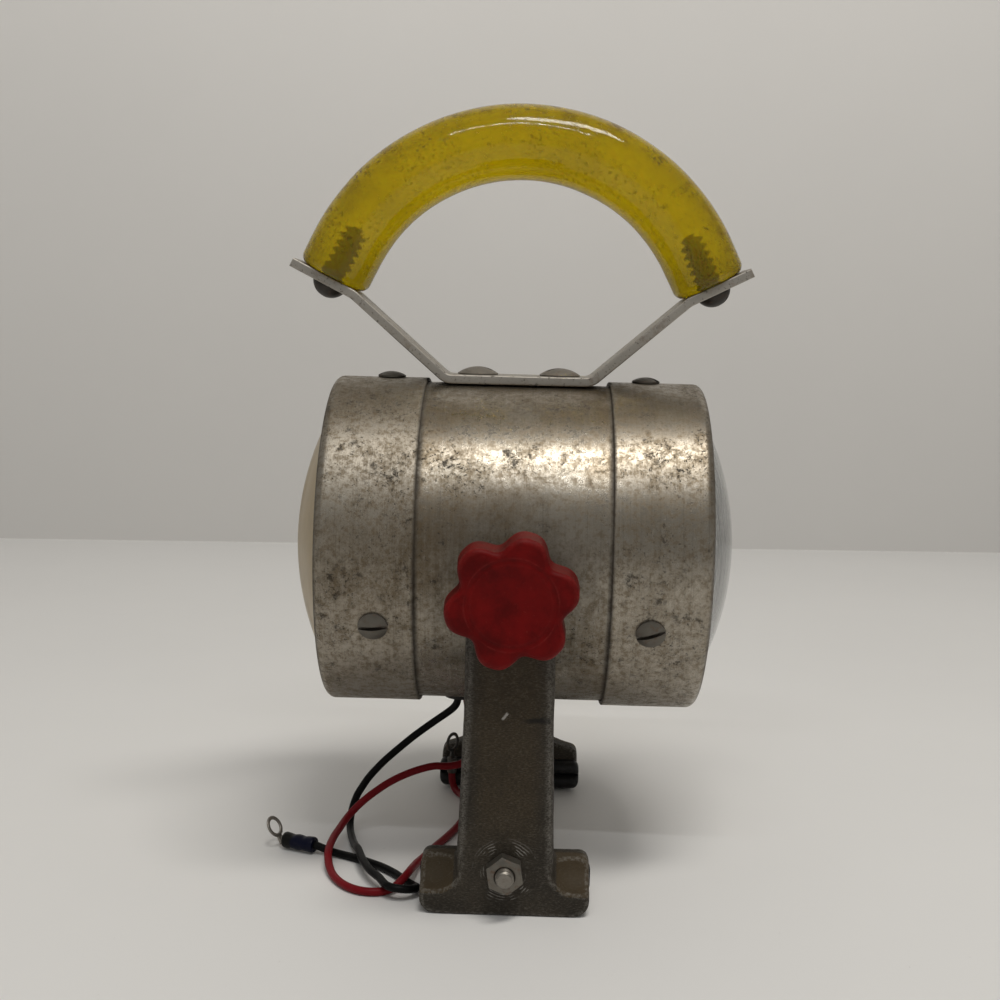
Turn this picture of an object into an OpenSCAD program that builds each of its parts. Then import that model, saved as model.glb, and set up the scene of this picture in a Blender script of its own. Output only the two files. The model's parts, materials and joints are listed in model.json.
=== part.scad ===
// Railroad lantern: a drum with a lamp at each end, tilting between two cast arms,
// with a bent strap and a moulded grip on top and two loose battery leads.
// Millimetres. X runs along the drum, Y runs from the knob to the back, Z is up.
// The origin is on the table, halfway between the two feet and under the drum's middle.

/* [Drum] */
// Outside radius of the rolled drum shell
drum_r = 57.5; // [50:0.5:70]
// Wall of the drum shell
drum_wall = 1.6; // [1:0.1:3]
// Half length of the drum shell
drum_half = 57; // [52:0.5:70]
// Height of the drum's axis above the table
drum_z = 113; // [105:0.5:130]
// How far the tilting axis lies under the drum's axis
pivot_drop = 6; // [0:0.5:10]

/* [Caps] */
// Wall of an end cap
cap_wall = 1.4; // [1:0.1:2.5]
// Slip gap between the shell and a cap
cap_gap = 0.1; // [0.05:0.05:0.3]
// How far a cap's skirt runs back along the shell from its end
cap_skirt = 24.4; // [18:0.2:30]
// Lip that a cap turns in over its lamp
cap_lip = 1.6; // [1:0.1:3]
// How far a cap's lip turns in from the inside of its skirt
cap_lip_w = 4.6; // [3:0.2:8]
// Rounding of a cap's outer edge
cap_round = 3; // [2:0.2:4]

/* [Lamps] */
// Thickness of a lamp's rim
rim_depth = 6.4; // [4:0.2:10]
// Gap between a lamp's rim and its cap
rim_gap = 0.4; // [0.2:0.1:1]
// How far a lens bulges beyond its rim
lens_bulge = 15.4; // [8:0.2:20]
// Gap between a lens and the opening in its cap
lens_gap = 0.7; // [0.4:0.1:2]
// Thickness of the lens glass
lens_glass = 3.2; // [2:0.2:5]
// Thickness of the seal between a lamp's rim and the lip
seal_t = 1; // [0.5:0.1:2]
// Depth of the reflector behind the rim
bowl_depth = 32; // [24:1:36]
// Wall of the reflector bowl
bowl_wall = 2.6; // [1.6:0.2:4]
// Outside radius of the reflector's neck
neck_r = 13; // [10:0.5:18]

/* [Cap screws] */
// Distance of the cap screws from the shell's end
cap_screw_inset = 11; // [8:0.5:14]
// Turn of the lower cap screws from the top
cap_screw_turn = 111; // [95:1:140]
// Head radius of a cap screw
cap_screw_head_r = 5; // [4:0.1:6]
// Head height of a cap screw
cap_screw_head_h = 2.2; // [1.5:0.1:3]
// Shank radius of a cap screw
cap_screw_r = 2.35; // [1.8:0.05:3]
// Length of a cap screw under its head
cap_screw_len = 9; // [6:0.5:14]

/* [Handle strap] */
// Thickness of the strap
strap_t = 3.2; // [2:0.1:5]
// Width of the strap
strap_w = 20; // [14:0.5:26]
// Half length of the strap's flat middle
strap_flat = 26; // [23:0.5:32]
// Where the strap bends into its tabs, measured across from the middle
strap_bend_x = 59.5; // [52:0.5:68]
// Rise of the strap from its flat middle to the bends
strap_rise = 29; // [20:0.5:40]
// Slope of the tabs
tab_angle = 26.5; // [15:0.5:40]
// Length of a tab beyond its bend
tab_len = 24.4; // [20:0.2:32]

/* [Handle grip] */
// Diameter of the grip
grip_d = 26.5; // [20:0.5:32]
// Distance along a tab from its bend to the grip's end
grip_seat = 10.3; // [8:0.1:14]
// Length of the straight part at each end of the grip
grip_leg = 11.3; // [6:0.1:20]
// Rounding of the grip's ends
grip_round = 3.6; // [1:0.2:5]

/* [Handle fasteners] */
// Shank radius of the handle's bolts and screws
bolt_r = 3.1; // [2.4:0.1:4]
// Gap round a shank in its hole
bolt_gap = 0.3; // [0.1:0.05:0.6]
// Distance of a strap bolt from the middle
strap_bolt_x = 14.8; // [10:0.2:18]
// Head radius of a strap bolt
strap_head_r = 7.3; // [6:0.1:8]
// Head height of a strap bolt
strap_head_h = 3; // [2:0.1:4]
// Head radius of a grip screw
grip_head_r = 6; // [5:0.1:7]
// Head height of a grip screw
grip_head_h = 4.4; // [3:0.1:5]
// How deep a grip screw runs into the grip
grip_screw_depth = 20; // [15:1:36]

/* [Arms] */
// Clearance between a cap and an arm's inner face
arm_clear = 1.4; // [1.2:0.1:5]
// Thickness of an arm above its foot
arm_t = 11.6; // [9:0.2:16]
// Thickness of an arm at its pivot
arm_top_t = 10; // [7:0.2:14]
// Width of an arm at its foot
arm_w_low = 32; // [28:0.5:40]
// Width of an arm at its pivot
arm_w_high = 29.2; // [24:0.2:34]
// Rounding of an arm's edges
arm_round = 3; // [1:0.2:4]
// Height where an arm starts to thin towards its pivot
arm_thin_z = 66; // [50:1:80]

/* [Feet] */
// Width of a foot
foot_w = 56; // [48:1:70]
// Height of a foot's wings
foot_h = 17; // [12:0.5:22]
// How far a foot reaches in under the drum beyond its arm
foot_reach = 6.4; // [3:0.2:10]
// Rounding of a foot's lower corners
foot_round = 5; // [2:0.5:7]
// Rounding of a foot's upper corners
foot_top_round = 3; // [1:0.5:4]
// Radius of the scoop in the top of each wing
scoop_r = 9.5; // [5:0.5:12]
// How far the rear foot's shoulders rise above the front foot's wings at the arm
shoulder_rise = 3; // [0:0.5:6]
// How far the rear foot's shoulders fall from the arm to where they round over
shoulder_drop = 2; // [0:0.5:6]
// Radius that rounds the ends of the rear foot's shoulders
shoulder_round = 3.5; // [2:0.5:5]
// Level part of the rear foot's shoulders beside the arm
shoulder_land = 2; // [0:0.5:5]

/* [Jaw pads] */
// Thickness of a rubber jaw pad
pad_t = 3.5; // [2:0.5:6]
// Height of a jaw pad
pad_h = 12; // [8:0.5:14]
// How far a pad stands out beyond each end of its foot
pad_over = 0.8; // [0:0.1:2]
// Height of a pad's lower edge above the table
pad_z = 0.8; // [0.5:0.1:2]

/* [Tie bolt] */
// Height of the tie bolt above the table
tie_z = 15.5; // [14.5:0.5:20]
// Width across the flats of the tie bolt's head and nut
tie_flats = 11.1; // [10:0.1:13]
// Thickness of the tie bolt's nut
tie_nut_t = 5.6; // [4:0.1:7]
// Height of the tie bolt's head
tie_head_t = 4.2; // [3:0.1:6]
// How far the tie bolt stands out of its nut
tie_proud = 3.2; // [1:0.2:8]

/* [Pivots] */
// Radius of the pivot studs
pivot_r = 3.95; // [3:0.05:5]
// Gap round a pivot stud in its arm
pivot_gap = 0.15; // [0.05:0.05:0.3]
// Radius of the saddle bosses on the drum
boss_r = 13; // [11:0.5:16]
// Thickness of a friction washer
friction_t = 0.8; // [0.5:0.1:1.5]
// Running gap between a friction washer and its arm
running_gap = 0.1; // [0.05:0.05:0.3]
// Width across the flats of the pivot nut and bolt head
pivot_flats = 12.7; // [11:0.1:15]
// Thickness of the clamp washer under the knob
clamp_t = 1.6; // [1:0.1:3]
// Radius of the clamp washer
clamp_r = 11; // [9:0.5:14]

/* [Knob] */
// Mean radius of the lobed knob
knob_r = 19.4; // [16:0.2:24]
// Height of the lobes over the mean radius
knob_lobe = 2.2; // [1:0.1:3]
// How much broader the lobes are than the hollows between them; 1 is a plain wave
knob_swell = 1.6; // [1:0.1:3]
// Number of lobes
knob_lobes = 6; // [5:1:8]
// Turn of the first lobe from the right
knob_turn = 14; // [0:1:60]
// Thickness of the knob's rim
knob_t = 14; // [10:0.5:18]
// Height of the hub behind the rim
hub_h = 3; // [1:0.5:6]
// Radius of the hub behind the rim
hub_r = 10.5; // [9:0.5:14]
// Radius of the dished face
dish_r = 15.4; // [12:0.2:16]
// Depth of the dished face
dish_depth = 1.2; // [0.6:0.1:2]
// Outside radius of the knob's threaded insert
insert_r = 6.4; // [5.5:0.1:8]
// Length of the threaded insert
insert_len = 13; // [8:0.5:14]

/* [Leads] */
// Diameter of a lead
lead_d = 2.8; // [2.4:0.1:3]
// Distance of the grommet from the drum's middle
grommet_x = -18; // [-22:0.5:-17]
// Half the distance between the leads in the grommet
lead_half_pitch = 1.7; // [1.6:0.05:2]
// Thickness of the grommet's flanges
grommet_flange_t = 1.6; // [1:0.1:2.5]
// Radius of the grommet's flanges
grommet_flange_r = 6.6; // [6:0.1:8]
// Radius of the grommet's neck in the shell
grommet_neck_r = 5; // [4.5:0.1:5.5]
// Radius of a ring terminal's tongue
ring_r = 4; // [3.5:0.1:5]
// Radius of the hole in a ring terminal
ring_hole_r = 2.65; // [2:0.05:3]
// Thickness of a ring terminal's tongue
ring_t = 0.8; // [0.6:0.1:1.2]
// Length of the insulating sleeve on the black lead's terminal
sleeve_len = 12.5; // [9:0.5:16]
// Outside radius of the insulating sleeve
sleeve_r = 3; // [2.4:0.1:3.4]

/* [Hidden] */
$fn = 96;

// How far a cutter runs past what it cuts
over = 1;

// Sizes that follow from the ones above
pivot_z = drum_z - pivot_drop;
shell_in_r = drum_r - drum_wall;
cap_in_r = drum_r + cap_gap;
cap_r = cap_in_r + cap_wall;
cap_start = drum_half - cap_skirt;
cap_screw_x = drum_half - cap_screw_inset;
cap_opening_r = cap_in_r - cap_lip_w;
rim_r = cap_in_r - rim_gap;
rim_front = drum_half + rim_depth;
cap_end = rim_front + seal_t + cap_lip;
lens_edge_r = cap_opening_r - lens_gap;
lens_r = (lens_edge_r * lens_edge_r + lens_bulge * lens_bulge) / (2 * lens_bulge);
bowl_back = drum_half - bowl_depth;
arm_in = cap_r + arm_clear;
boss_face = arm_in - running_gap - friction_t;
arm_out = arm_in + arm_t;
arm_top_out = arm_in + arm_top_t;
foot_in = arm_in - foot_reach;
// Round of the pivot end of an arm
arm_top_r = arm_w_high / 2;

// The middle of a scoop's round end lies this far beside the arm, and its axis this far above the wing
scoop_in = 7.5;
scoop_lift = 0.5;
// How far an arm's column runs down into its foot, and the height of the rings it is drawn from
column_lap = 3;
column_ring = 1;

// Backing saddles inside the shell, and what is screwed up against them
backing_t = 4.9;
backing_face = shell_in_r - backing_t;
backing_r = 11;
stud_head_t = 3;
stud_head_r = 9;
pivot_nut_t = 6.6;
pivot_head_t = 5.2;
pivot_washer_t = 1.6;
pivot_washer_r = 9.5;
// Gap between flat faces that slide on each other
slide_gap = 0.05;
// Flat spot on an arm for its washer, wider than the washer by this much
spot_gap = 1;
spot_r = max(clamp_r, pivot_washer_r) + spot_gap;
// Outer face of the rear pivot washer, and how far the rear bolt stands out of its nut
pivot_seat = arm_top_out + slide_gap + pivot_washer_t;
pivot_proud = 2;

clamp_face = arm_top_out + slide_gap;
knob_back = clamp_face + clamp_t + slide_gap;
knob_face = knob_back + hub_h + knob_t;
// The stud stops this far inside the insert
stud_short = 1;
// Gap round the stud in the insert's thread
insert_gap = 0.1;
stud_tip = knob_back + insert_len - stud_short;
// Width of the groove round the dished face, and of the land inside it
dish_groove = 2;
dish_land = 0.5;

// The strap's middle line, from its flat part to the tip of a tab
strap_low = drum_z + drum_r;
strap_mid = strap_low + strap_t / 2;
tab_dir = [cos(tab_angle), sin(tab_angle)];
tab_up = [-sin(tab_angle), cos(tab_angle)];
bend_low = [strap_flat, strap_mid];
bend_high = [strap_bend_x, strap_mid + strap_rise];
tab_tip = bend_high + tab_len * tab_dir;
function flip(p) = [-p[0], p[1]];
strap_line = [flip(tab_tip), flip(bend_high), flip(bend_low), bend_low, bend_high, tab_tip];

// The grip stands on the tabs: straight legs square to them, and one bend between
grip_foot = bend_high + grip_seat * tab_dir + strap_t / 2 * tab_up;
grip_bend_end = grip_foot + grip_leg * tab_up;
grip_bend_r = grip_bend_end[0] / cos(tab_angle);
grip_bend_z = grip_bend_end[1] - grip_bend_r * sin(tab_angle);

// Step between the bend and the straight ends, and how far they run into each other
grip_step = 0.1;
grip_lap = 0.6;
// Gap round a screw in its own threaded hole
thread_gap = 0.05;

// Grommet, which stands out of the drum's underside
grommet_top = drum_z - drum_r;
grommet_face = grommet_top - grommet_flange_t;
black_x = grommet_x - lead_half_pitch;
red_x = grommet_x + lead_half_pitch;
lead_r = lead_d / 2;
// Gap round a lead in the grommet
lead_gap = 0.1;

// Round numbers on the table: lead_low lies on it, lead_high lies over another lead
lead_low = 1.5;
lead_high = 4.6;

// Black lead, from the grommet to its sleeve
black_route = [
    [black_x, 0, grommet_face], [black_x, 0, grommet_face - 1.7], [-20.2, 0.4, 50.4], [-21.5, 1.2, 48.5],
    [-23.8, 2.3, 46.3], [-26.9, 3.5, 43.7], [-30.2, 4.4, 41], [-33.5, 5, 38.3], [-36.8, 5.2, 35.6],
    [-40, 5.2, 32.8], [-43.6, 5, 29.6], [-47.4, 4.6, 26.1], [-50.6, 4.2, 22.7], [-53.4, 3.9, 19.3],
    [-55.6, 3.6, 15.9], [-57.3, 3.3, 13], [-58.5, 2.9, 9.8], [-59.3, 2, 6.6], [-59.5, -0.4, 3.6],
    [-58.8, -5, 1.8], [-57.6, -10.4, lead_low], [-56.2, -16.4, 1.8], [-54.6, -23, 3], [-53.3, -28.2, 4.3],
    [-52.4, -31.6, lead_high], [-51.2, -35.9, lead_high], [-49.4, -41.6, lead_high],
    [-46.5, -48.6, lead_high], [-42.8, -54.6, lead_high], [-40.4, -59.7, lead_high], [-38.75, -61.8, lead_high],
    [-36.4, -62.9, 4.5], [-33.8, -62.8, 4.2], [-31.5, -61.5, 3.7], [-30.05, -59.3, 3.1], [-29.75, -56.7, 2.4],
    [-30.7, -54.3, 1.8], [-33.2, -50.7, lead_low], [-35.6, -47.3, lead_low], [-38.5, -43.2, lead_low],
    [-43.2, -38.2, lead_low], [-48.1, -34.4, lead_low], [-52, -31.7, lead_low], [-55.4, -29.6, lead_low],
    [-58.8, -27.8, lead_low], [-62.4, -26.4, 1.8], [-65.6, -25.4, 2.5], [-68.47, -24.38, 3.2],
    [-69.4, -24, 3.2]
];

// Red lead, from the grommet to its terminal by the rear foot
red_route = [
    [red_x, 0, grommet_face], [red_x, 0, grommet_face - 1.7], [-15.6, 0.4, 48.6], [-14.4, 0.7, 44.4],
    [-13.2, 0.4, 39.8], [-13, -0.2, 35.2], [-14.4, -0.9, 31], [-18, -1.6, 28], [-22.9, -2, 27],
    [-28, -2.2, 26.9], [-33.5, -2.5, 25.5], [-39.1, -2.8, 23.3], [-44.7, -3, 20.3], [-50.2, -3.3, 16.4],
    [-54.7, -4, 12.7], [-58.4, -6, 9.2], [-60.4, -10.2, 7.4], [-61.5, -15.4, 6.6], [-62.6, -22, 6],
    [-63.1, -29, 5.4], [-63, -34.4, 4.5], [-62, -39.8, 2.9], [-59.8, -46, 1.7], [-56.6, -51.8, lead_low],
    [-52.6, -56.4, lead_low], [-48, -59, lead_low], [-43.8, -59.4, lead_low], [-40.4, -58.4, lead_low],
    [-37.4, -56.6, 2.2], [-35.1, -53.9, 3.6], [-33.5, -50.9, lead_high], [-32.6, -47, lead_high],
    [-32, -41.5, 3.6], [-31.2, -35, 2.4], [-29.6, -28, lead_low], [-26.2, -18, lead_low],
    [-22, -6.4, lead_low], [-18.6, 5, lead_low], [-16.8, 16, lead_low], [-16.6, 25, lead_low],
    [-17.4, 32.6, lead_low], [-19, 38.6, lead_low], [-21.04, 42.62, lead_low], [-22.32, 45.11, 2.25],
    [-23.26, 46.93, 4.3], [-23.6, 47.6, 7.1], [-23.6, 47.6, 8]
];

// Where a lamp's screw terminals stand behind its neck
terminal_y = 6;
terminal_post_r = 2.4;
terminal_post_len = 10;
terminal_lug_h = 1.2;
terminal_lug_r = 4.1;
jumper_r = 1;

// Leads inside the drum, from the grommet up to the left lamp's terminals
lamp_back = bowl_back - terminal_post_len;
inner_gap = 0.5;
inner_end = drum_z - terminal_lug_r - inner_gap;
inner_straight = 6.5;
inner_low = grommet_top + inner_straight;
inner_rise = inner_end - inner_low;
// How far each inner lead swings out behind the lamp on its way up
black_swing = 6;
red_swing = 2.6;
black_inner_route = [
    [black_x, 0, grommet_face], [black_x, 0, inner_low],
    [-lamp_back - black_swing, -terminal_y / 3, inner_low + 0.2 * inner_rise],
    [-lamp_back - 0.7 * black_swing, -0.8 * terminal_y, inner_low + 0.55 * inner_rise],
    [-lamp_back - 0.35 * black_swing, -terminal_y, inner_low + 0.8 * inner_rise],
    [-lamp_back, -terminal_y, inner_end]
];
red_inner_route = [
    [red_x, 0, grommet_face], [red_x, 0, inner_low],
    [-lamp_back - red_swing, terminal_y / 3, inner_low + 0.2 * inner_rise],
    [-lamp_back - 0.7 * red_swing, 0.8 * terminal_y, inner_low + 0.55 * inner_rise],
    [-lamp_back - 0.35 * red_swing, terminal_y, inner_low + 0.8 * inner_rise],
    [-lamp_back, terminal_y, inner_end]
];

black_terminal_turn = 158;
red_terminal_turn = 55;
// Tongue of the black lead's terminal, bent up from its barrel
black_tongue_lift = 58;
barrel_r = 2.1;
barrel_len = 6.5;
neck_len = 2.4;
neck_half = 1.5;
// Stub of the black lead's terminal that shows beyond its sleeve
stub_r = 1.7;
stub_len = 1;
stub_drop = 1.25;

// Turns of the slots in the cap screws (top, front and rear), strap bolts and grip screws
left_slots = [20, 4, 60];
right_slots = [-35, 18, 10];
strap_slots = [-15, 25];
grip_slot = 30;
// Length of a strap bolt inside the shell, and thickness of its nut
strap_bolt_in = 9;
strap_nut_t = 5.4;

// General shapes

// Bar along +Y from one distance to another
module bar_y(r, from, to) {
    translate([0, from, 0])
        rotate([-90, 0, 0])
            cylinder(r = r, h = to - from);
}

// Bar along X from one place to another
module bar_x(r, from, to) {
    translate([from, 0, 0])
        rotate([0, 90, 0])
            cylinder(r = r, h = to - from);
}

// Hexagonal prism along +Y
module hex_y(flats, from, to) {
    translate([0, from, 0])
        rotate([-90, 0, 0])
            cylinder(d = flats / cos(30), h = to - from, $fn = 6);
}

// Low dome with a flat underside on the XY plane
module dome(r, h) {
    ball = (r * r + h * h) / (2 * h);
    intersection() {
        translate([0, 0, h - ball])
            sphere(ball);
        cylinder(r = r, h = h);
    }
}

// Slotted screw whose head stands up from the XY plane
module slotted_screw(head_r, head_h, shank_r, shank_len, slot_turn) {
    slot_w = head_r * 0.26;
    slot_depth = head_h * 0.5;
    difference() {
        dome(head_r, head_h);
        rotate([0, 0, slot_turn])
            translate([-head_r, -slot_w / 2, head_h - slot_depth])
                cube([2 * head_r, slot_w, head_h]);
    }
    translate([0, 0, -shank_len])
        cylinder(r = shank_r, h = shank_len);
}

function unit(v) = v / norm(v);

// Middle line moved sideways by d, with its corners mitred
function side_normal(a, b) = let(v = unit(b - a)) [-v[1], v[0]];
function moved_point(line, i, d) =
    let(
        n_in = side_normal(line[max(i - 1, 0)], line[max(i, 1)]),
        n_out = side_normal(line[min(i, len(line) - 2)], line[min(i + 1, len(line) - 1)])
    )
    line[i] + d * (n_in + n_out) / (1 + n_in * n_out);
function bar_outline(line, t) = concat(
    [for (i = [0 : len(line) - 1]) moved_point(line, i, -t / 2)],
    [for (i = [len(line) - 1 : -1 : 0]) moved_point(line, i, t / 2)]
);

// Round tube swept along a route
tube_sides = 8;
first_side = [1, 0.2, 0.1];
function route_dir(p, i) = unit(p[min(i + 1, len(p) - 1)] - p[max(i - 1, 0)]);
function carried(dirs, i, side) =
    i == len(dirs) ? [] :
    let(s = unit(side - (side * dirs[i]) * dirs[i]))
    concat([s], carried(dirs, i + 1, s));
module tube(route, r) {
    last = len(route) - 1;
    dirs = [for (i = [0 : last]) route_dir(route, i)];
    sides = carried(dirs, 0, first_side);
    points = [
        for (i = [0 : last], k = [0 : tube_sides - 1])
            let(a = 360 * k / tube_sides)
            route[i] + r * (cos(a) * sides[i] + sin(a) * cross(dirs[i], sides[i]))
    ];
    walls = [
        for (i = [0 : last - 1], k = [0 : tube_sides - 1])
            let(
                a = i * tube_sides + k,
                b = i * tube_sides + (k + 1) % tube_sides,
                c = b + tube_sides,
                d = a + tube_sides
            )
            each [[a, c, b], [a, d, c]]
    ];
    first_end = [for (k = [0 : tube_sides - 1]) k];
    last_end = [for (k = [tube_sides - 1 : -1 : 0]) last * tube_sides + k];
    polyhedron(points, concat(walls, [first_end], [last_end]), convexity = 10);
}

// Stand

// Outline of a foot seen along Y, with rounded corners
module foot_outline() {
    half = foot_w / 2;
    translate([-half + foot_round, 0])
        square([foot_w - 2 * foot_round, foot_h]);
    translate([-half, foot_round])
        square([foot_w, foot_h - foot_round - foot_top_round]);
    translate([-half + foot_top_round, foot_round])
        square([foot_w - 2 * foot_top_round, foot_h - foot_round]);
    for (s = [-1, 1]) {
        translate([s * (half - foot_round), foot_round])
            circle(foot_round);
        translate([s * (half - foot_top_round), foot_h - foot_top_round])
            circle(foot_top_round);
    }
}

// Outline of the rear foot, whose shoulders slope down from the arm
module sloped_foot_outline() {
    half = foot_w / 2;
    top = foot_h + shoulder_rise;
    brow = top - shoulder_drop;
    polygon([
        [-half, foot_round], [-half, brow - shoulder_round], [-half + shoulder_round, brow],
        [-arm_w_low / 2 - shoulder_land, top], [arm_w_low / 2 + shoulder_land, top],
        [half - shoulder_round, brow], [half, brow - shoulder_round], [half, foot_round]
    ]);
    for (s = [-1, 1])
        translate([s * (half - shoulder_round), brow - shoulder_round])
            circle(shoulder_round);
    translate([-half + foot_round, 0])
        square([foot_w - 2 * foot_round, 2 * foot_round]);
    for (s = [-1, 1])
        translate([s * (half - foot_round), foot_round])
            circle(foot_round);
}

// The four rounded edges of an arm at one height, small towards the drum and full outside
module arm_edges(width, level) {
    inner_r = arm_round / 2;
    for (s = [-1, 1]) {
        translate([s * (width / 2 - inner_r), arm_in + inner_r, level])
            cylinder(r = inner_r, h = column_ring, $fn = 32);
        translate([s * (width / 2 - arm_round), arm_out - arm_round, level])
            cylinder(r = arm_round, h = column_ring, $fn = 32);
    }
}

// Column of an arm: a rounded bar that narrows upwards and ends in a round eye
module arm_column() {
    hull() {
        arm_edges(arm_w_low, foot_h - column_lap);
        arm_edges(arm_w_high, arm_thin_z);
    }
    hull() {
        arm_edges(arm_w_high, arm_thin_z);
        translate([0, 0, pivot_z]) {
            bar_y(arm_top_r, arm_in, arm_top_out - arm_round / 2);
            bar_y(arm_top_r - arm_round / 2, arm_in, arm_top_out);
        }
    }
}

// One cast arm on the +Y side, with its foot's outline as a child; the drum lies on its -Y side
module arm_casting() {
    difference() {
        union() {
            arm_column();
            difference() {
                translate([0, arm_out, 0])
                    rotate([90, 0, 0])
                        linear_extrude(arm_out - foot_in)
                            children();
                for (s = [-1, 1])
                    translate([s * (arm_w_low / 2 + scoop_in), arm_out, foot_h + scoop_lift]) {
                        sphere(scoop_r);
                        bar_x(scoop_r, min(0, s * foot_w), max(0, s * foot_w));
                    }
            }
            translate([-arm_w_low / 2 + arm_round, foot_in, 0])
                cube([arm_w_low - 2 * arm_round, arm_out - foot_in, foot_h]);
        }
        translate([0, 0, pivot_z])
            bar_y(pivot_r + pivot_gap, arm_in - over, arm_out + over);
        translate([0, 0, pivot_z])
            bar_y(spot_r, arm_top_out, arm_out + over);
        translate([0, 0, tie_z])
            bar_y(bolt_r + bolt_gap, foot_in - over, arm_out + over);
    }
}

module front_arm() {
    color("dimgray")
        mirror([0, 1, 0])
            arm_casting()
                foot_outline();
}

module rear_arm() {
    color("dimgray")
        arm_casting()
            sloped_foot_outline();
}

// Ribbed rubber pad on the inner face of a foot, notched round the tie bolt
module jaw_pad() {
    rib_r = pad_h / 4;
    pad_w = foot_w + 2 * pad_over;
    difference() {
        translate([-pad_w / 2, foot_in, pad_z])
            rotate([90, 0, 90])
                linear_extrude(pad_w) {
                    translate([-pad_t / 2, 0])
                        square([pad_t / 2, pad_h]);
                    intersection() {
                        translate([-pad_t, 0])
                            square([pad_t, pad_h]);
                        for (level = [rib_r, 3 * rib_r])
                            translate([rib_r - pad_t, level])
                                circle(rib_r);
                    }
                }
        translate([0, 0, tie_z])
            bar_y(bolt_r + 2 * bolt_gap, foot_in - pad_t - over, foot_in + over);
    }
}

module front_jaw_pad() {
    color("#1c1b1a")
        mirror([0, 1, 0])
            jaw_pad();
}

module rear_jaw_pad() {
    color("#1c1b1a")
        jaw_pad();
}

module tie_bolt() {
    color("lightgray")
        translate([0, 0, tie_z]) {
            bar_y(bolt_r, -arm_out - tie_nut_t - tie_proud, arm_out);
            hex_y(tie_flats, arm_out, arm_out + tie_head_t);
        }
}

module tie_bolt_nut() {
    color("silver")
        translate([0, 0, tie_z])
            difference() {
                hex_y(tie_flats, -arm_out - tie_nut_t, -arm_out);
                bar_y(bolt_r, -arm_out - tie_nut_t - over, -arm_out + over);
            }
}

// Drum

// Holes through the shell for the screws, bolts, studs and grommet
module shell_holes() {
    for (x = [-cap_screw_x, cap_screw_x], turn = [0, cap_screw_turn, -cap_screw_turn])
        translate([x, 0, drum_z])
            rotate([turn, 0, 0])
                cylinder(r = cap_screw_r + thread_gap, h = drum_r + over);
    for (x = [-strap_bolt_x, strap_bolt_x])
        translate([x, 0, drum_z])
            cylinder(r = bolt_r + bolt_gap, h = drum_r + over);
    translate([0, 0, pivot_z])
        bar_y(pivot_r + bolt_gap, -drum_r - over, drum_r + over);
    translate([grommet_x, 0, drum_z - drum_r - over])
        cylinder(r = grommet_neck_r, h = drum_r);
}

module drum_shell() {
    color("#b9b6ad")
        difference() {
            translate([0, 0, drum_z])
                bar_x(drum_r, -drum_half, drum_half);
            translate([0, 0, drum_z])
                bar_x(shell_in_r, -drum_half - over, drum_half + over);
            shell_holes();
        }
}

// Half section of a cap, with its axis along the second coordinate
module cap_section() {
    difference() {
        union() {
            translate([0, cap_start])
                square([cap_r, cap_end - cap_round - cap_start]);
            translate([0, cap_start])
                square([cap_r - cap_round, cap_end - cap_start]);
            translate([cap_r - cap_round, cap_end - cap_round])
                circle(cap_round);
        }
        translate([0, cap_start - over])
            square([cap_in_r, cap_end - cap_lip - cap_start + over]);
        translate([0, cap_start - over])
            square([cap_opening_r, cap_end - cap_start + 2 * over]);
    }
}

// Puts a piece that is turned about Z on the right-hand end of the drum
module on_right_end() {
    translate([0, 0, drum_z])
        rotate([0, 90, 0])
            children();
}

module on_left_end() {
    mirror([1, 0, 0])
        on_right_end()
            children();
}

module cap() {
    difference() {
        rotate_extrude()
            cap_section();
        for (turn = [0, cap_screw_turn, -cap_screw_turn])
            translate([0, 0, cap_screw_x])
                rotate([0, -90, 0])
                    rotate([turn, 0, 0])
                        cylinder(r = cap_screw_r + bolt_gap, h = cap_r + over);
    }
}

module left_cap() {
    color("#c2bfb6")
        on_left_end()
            cap();
}

module right_cap() {
    color("#c2bfb6")
        on_right_end()
            cap();
}

// Domed lens with a flat rim for the seal
module lens() {
    intersection() {
        difference() {
            union() {
                translate([0, 0, rim_front - rim_depth / 2])
                    cylinder(r = rim_r, h = rim_depth / 2);
                translate([0, 0, rim_front + lens_bulge - lens_r])
                    sphere(lens_r);
            }
            translate([0, 0, rim_front + lens_bulge - lens_r])
                sphere(lens_r - lens_glass);
        }
        translate([0, 0, rim_front - rim_depth / 2])
            cylinder(r = rim_r, h = rim_depth + lens_bulge);
        union() {
            translate([0, 0, rim_front])
                cylinder(r = lens_edge_r, h = lens_bulge + over);
            translate([0, 0, rim_front - rim_depth / 2])
                cylinder(r = rim_r, h = rim_depth / 2);
        }
    }
}

module left_lens() {
    color("#c9b88f", 0.7)
        on_left_end()
            lens();
}

module right_lens() {
    color("#c4c8c6", 0.7)
        on_right_end()
            lens();
}

// Bowl of a lamp: a rim, a curved wall and a neck with the terminals' holes
bowl_steps = 12;
function bowl_r(z) = neck_r + (shell_in_r - 1 - neck_r) * sqrt((z - bowl_back) / bowl_depth);
module bowl() {
    outside = [for (i = [0 : bowl_steps])
        let(z = bowl_back + bowl_depth * pow(i / bowl_steps, 2)) [bowl_r(z), z]];
    inside = [for (i = [bowl_steps : -1 : 1]) [outside[i][0] - bowl_wall, outside[i][1]]];
    rotate_extrude()
        polygon(concat(
            [[0, bowl_back]], outside,
            [[rim_r, drum_half], [rim_r, rim_front - rim_depth / 2],
             [outside[bowl_steps][0] - bowl_wall, rim_front - rim_depth / 2]],
            inside, [[0, bowl_back + bowl_wall]]
        ));
}

module left_reflector() {
    color("gainsboro")
        on_left_end()
            bowl();
}

module right_reflector() {
    color("gainsboro")
        on_right_end()
            bowl();
}

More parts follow.
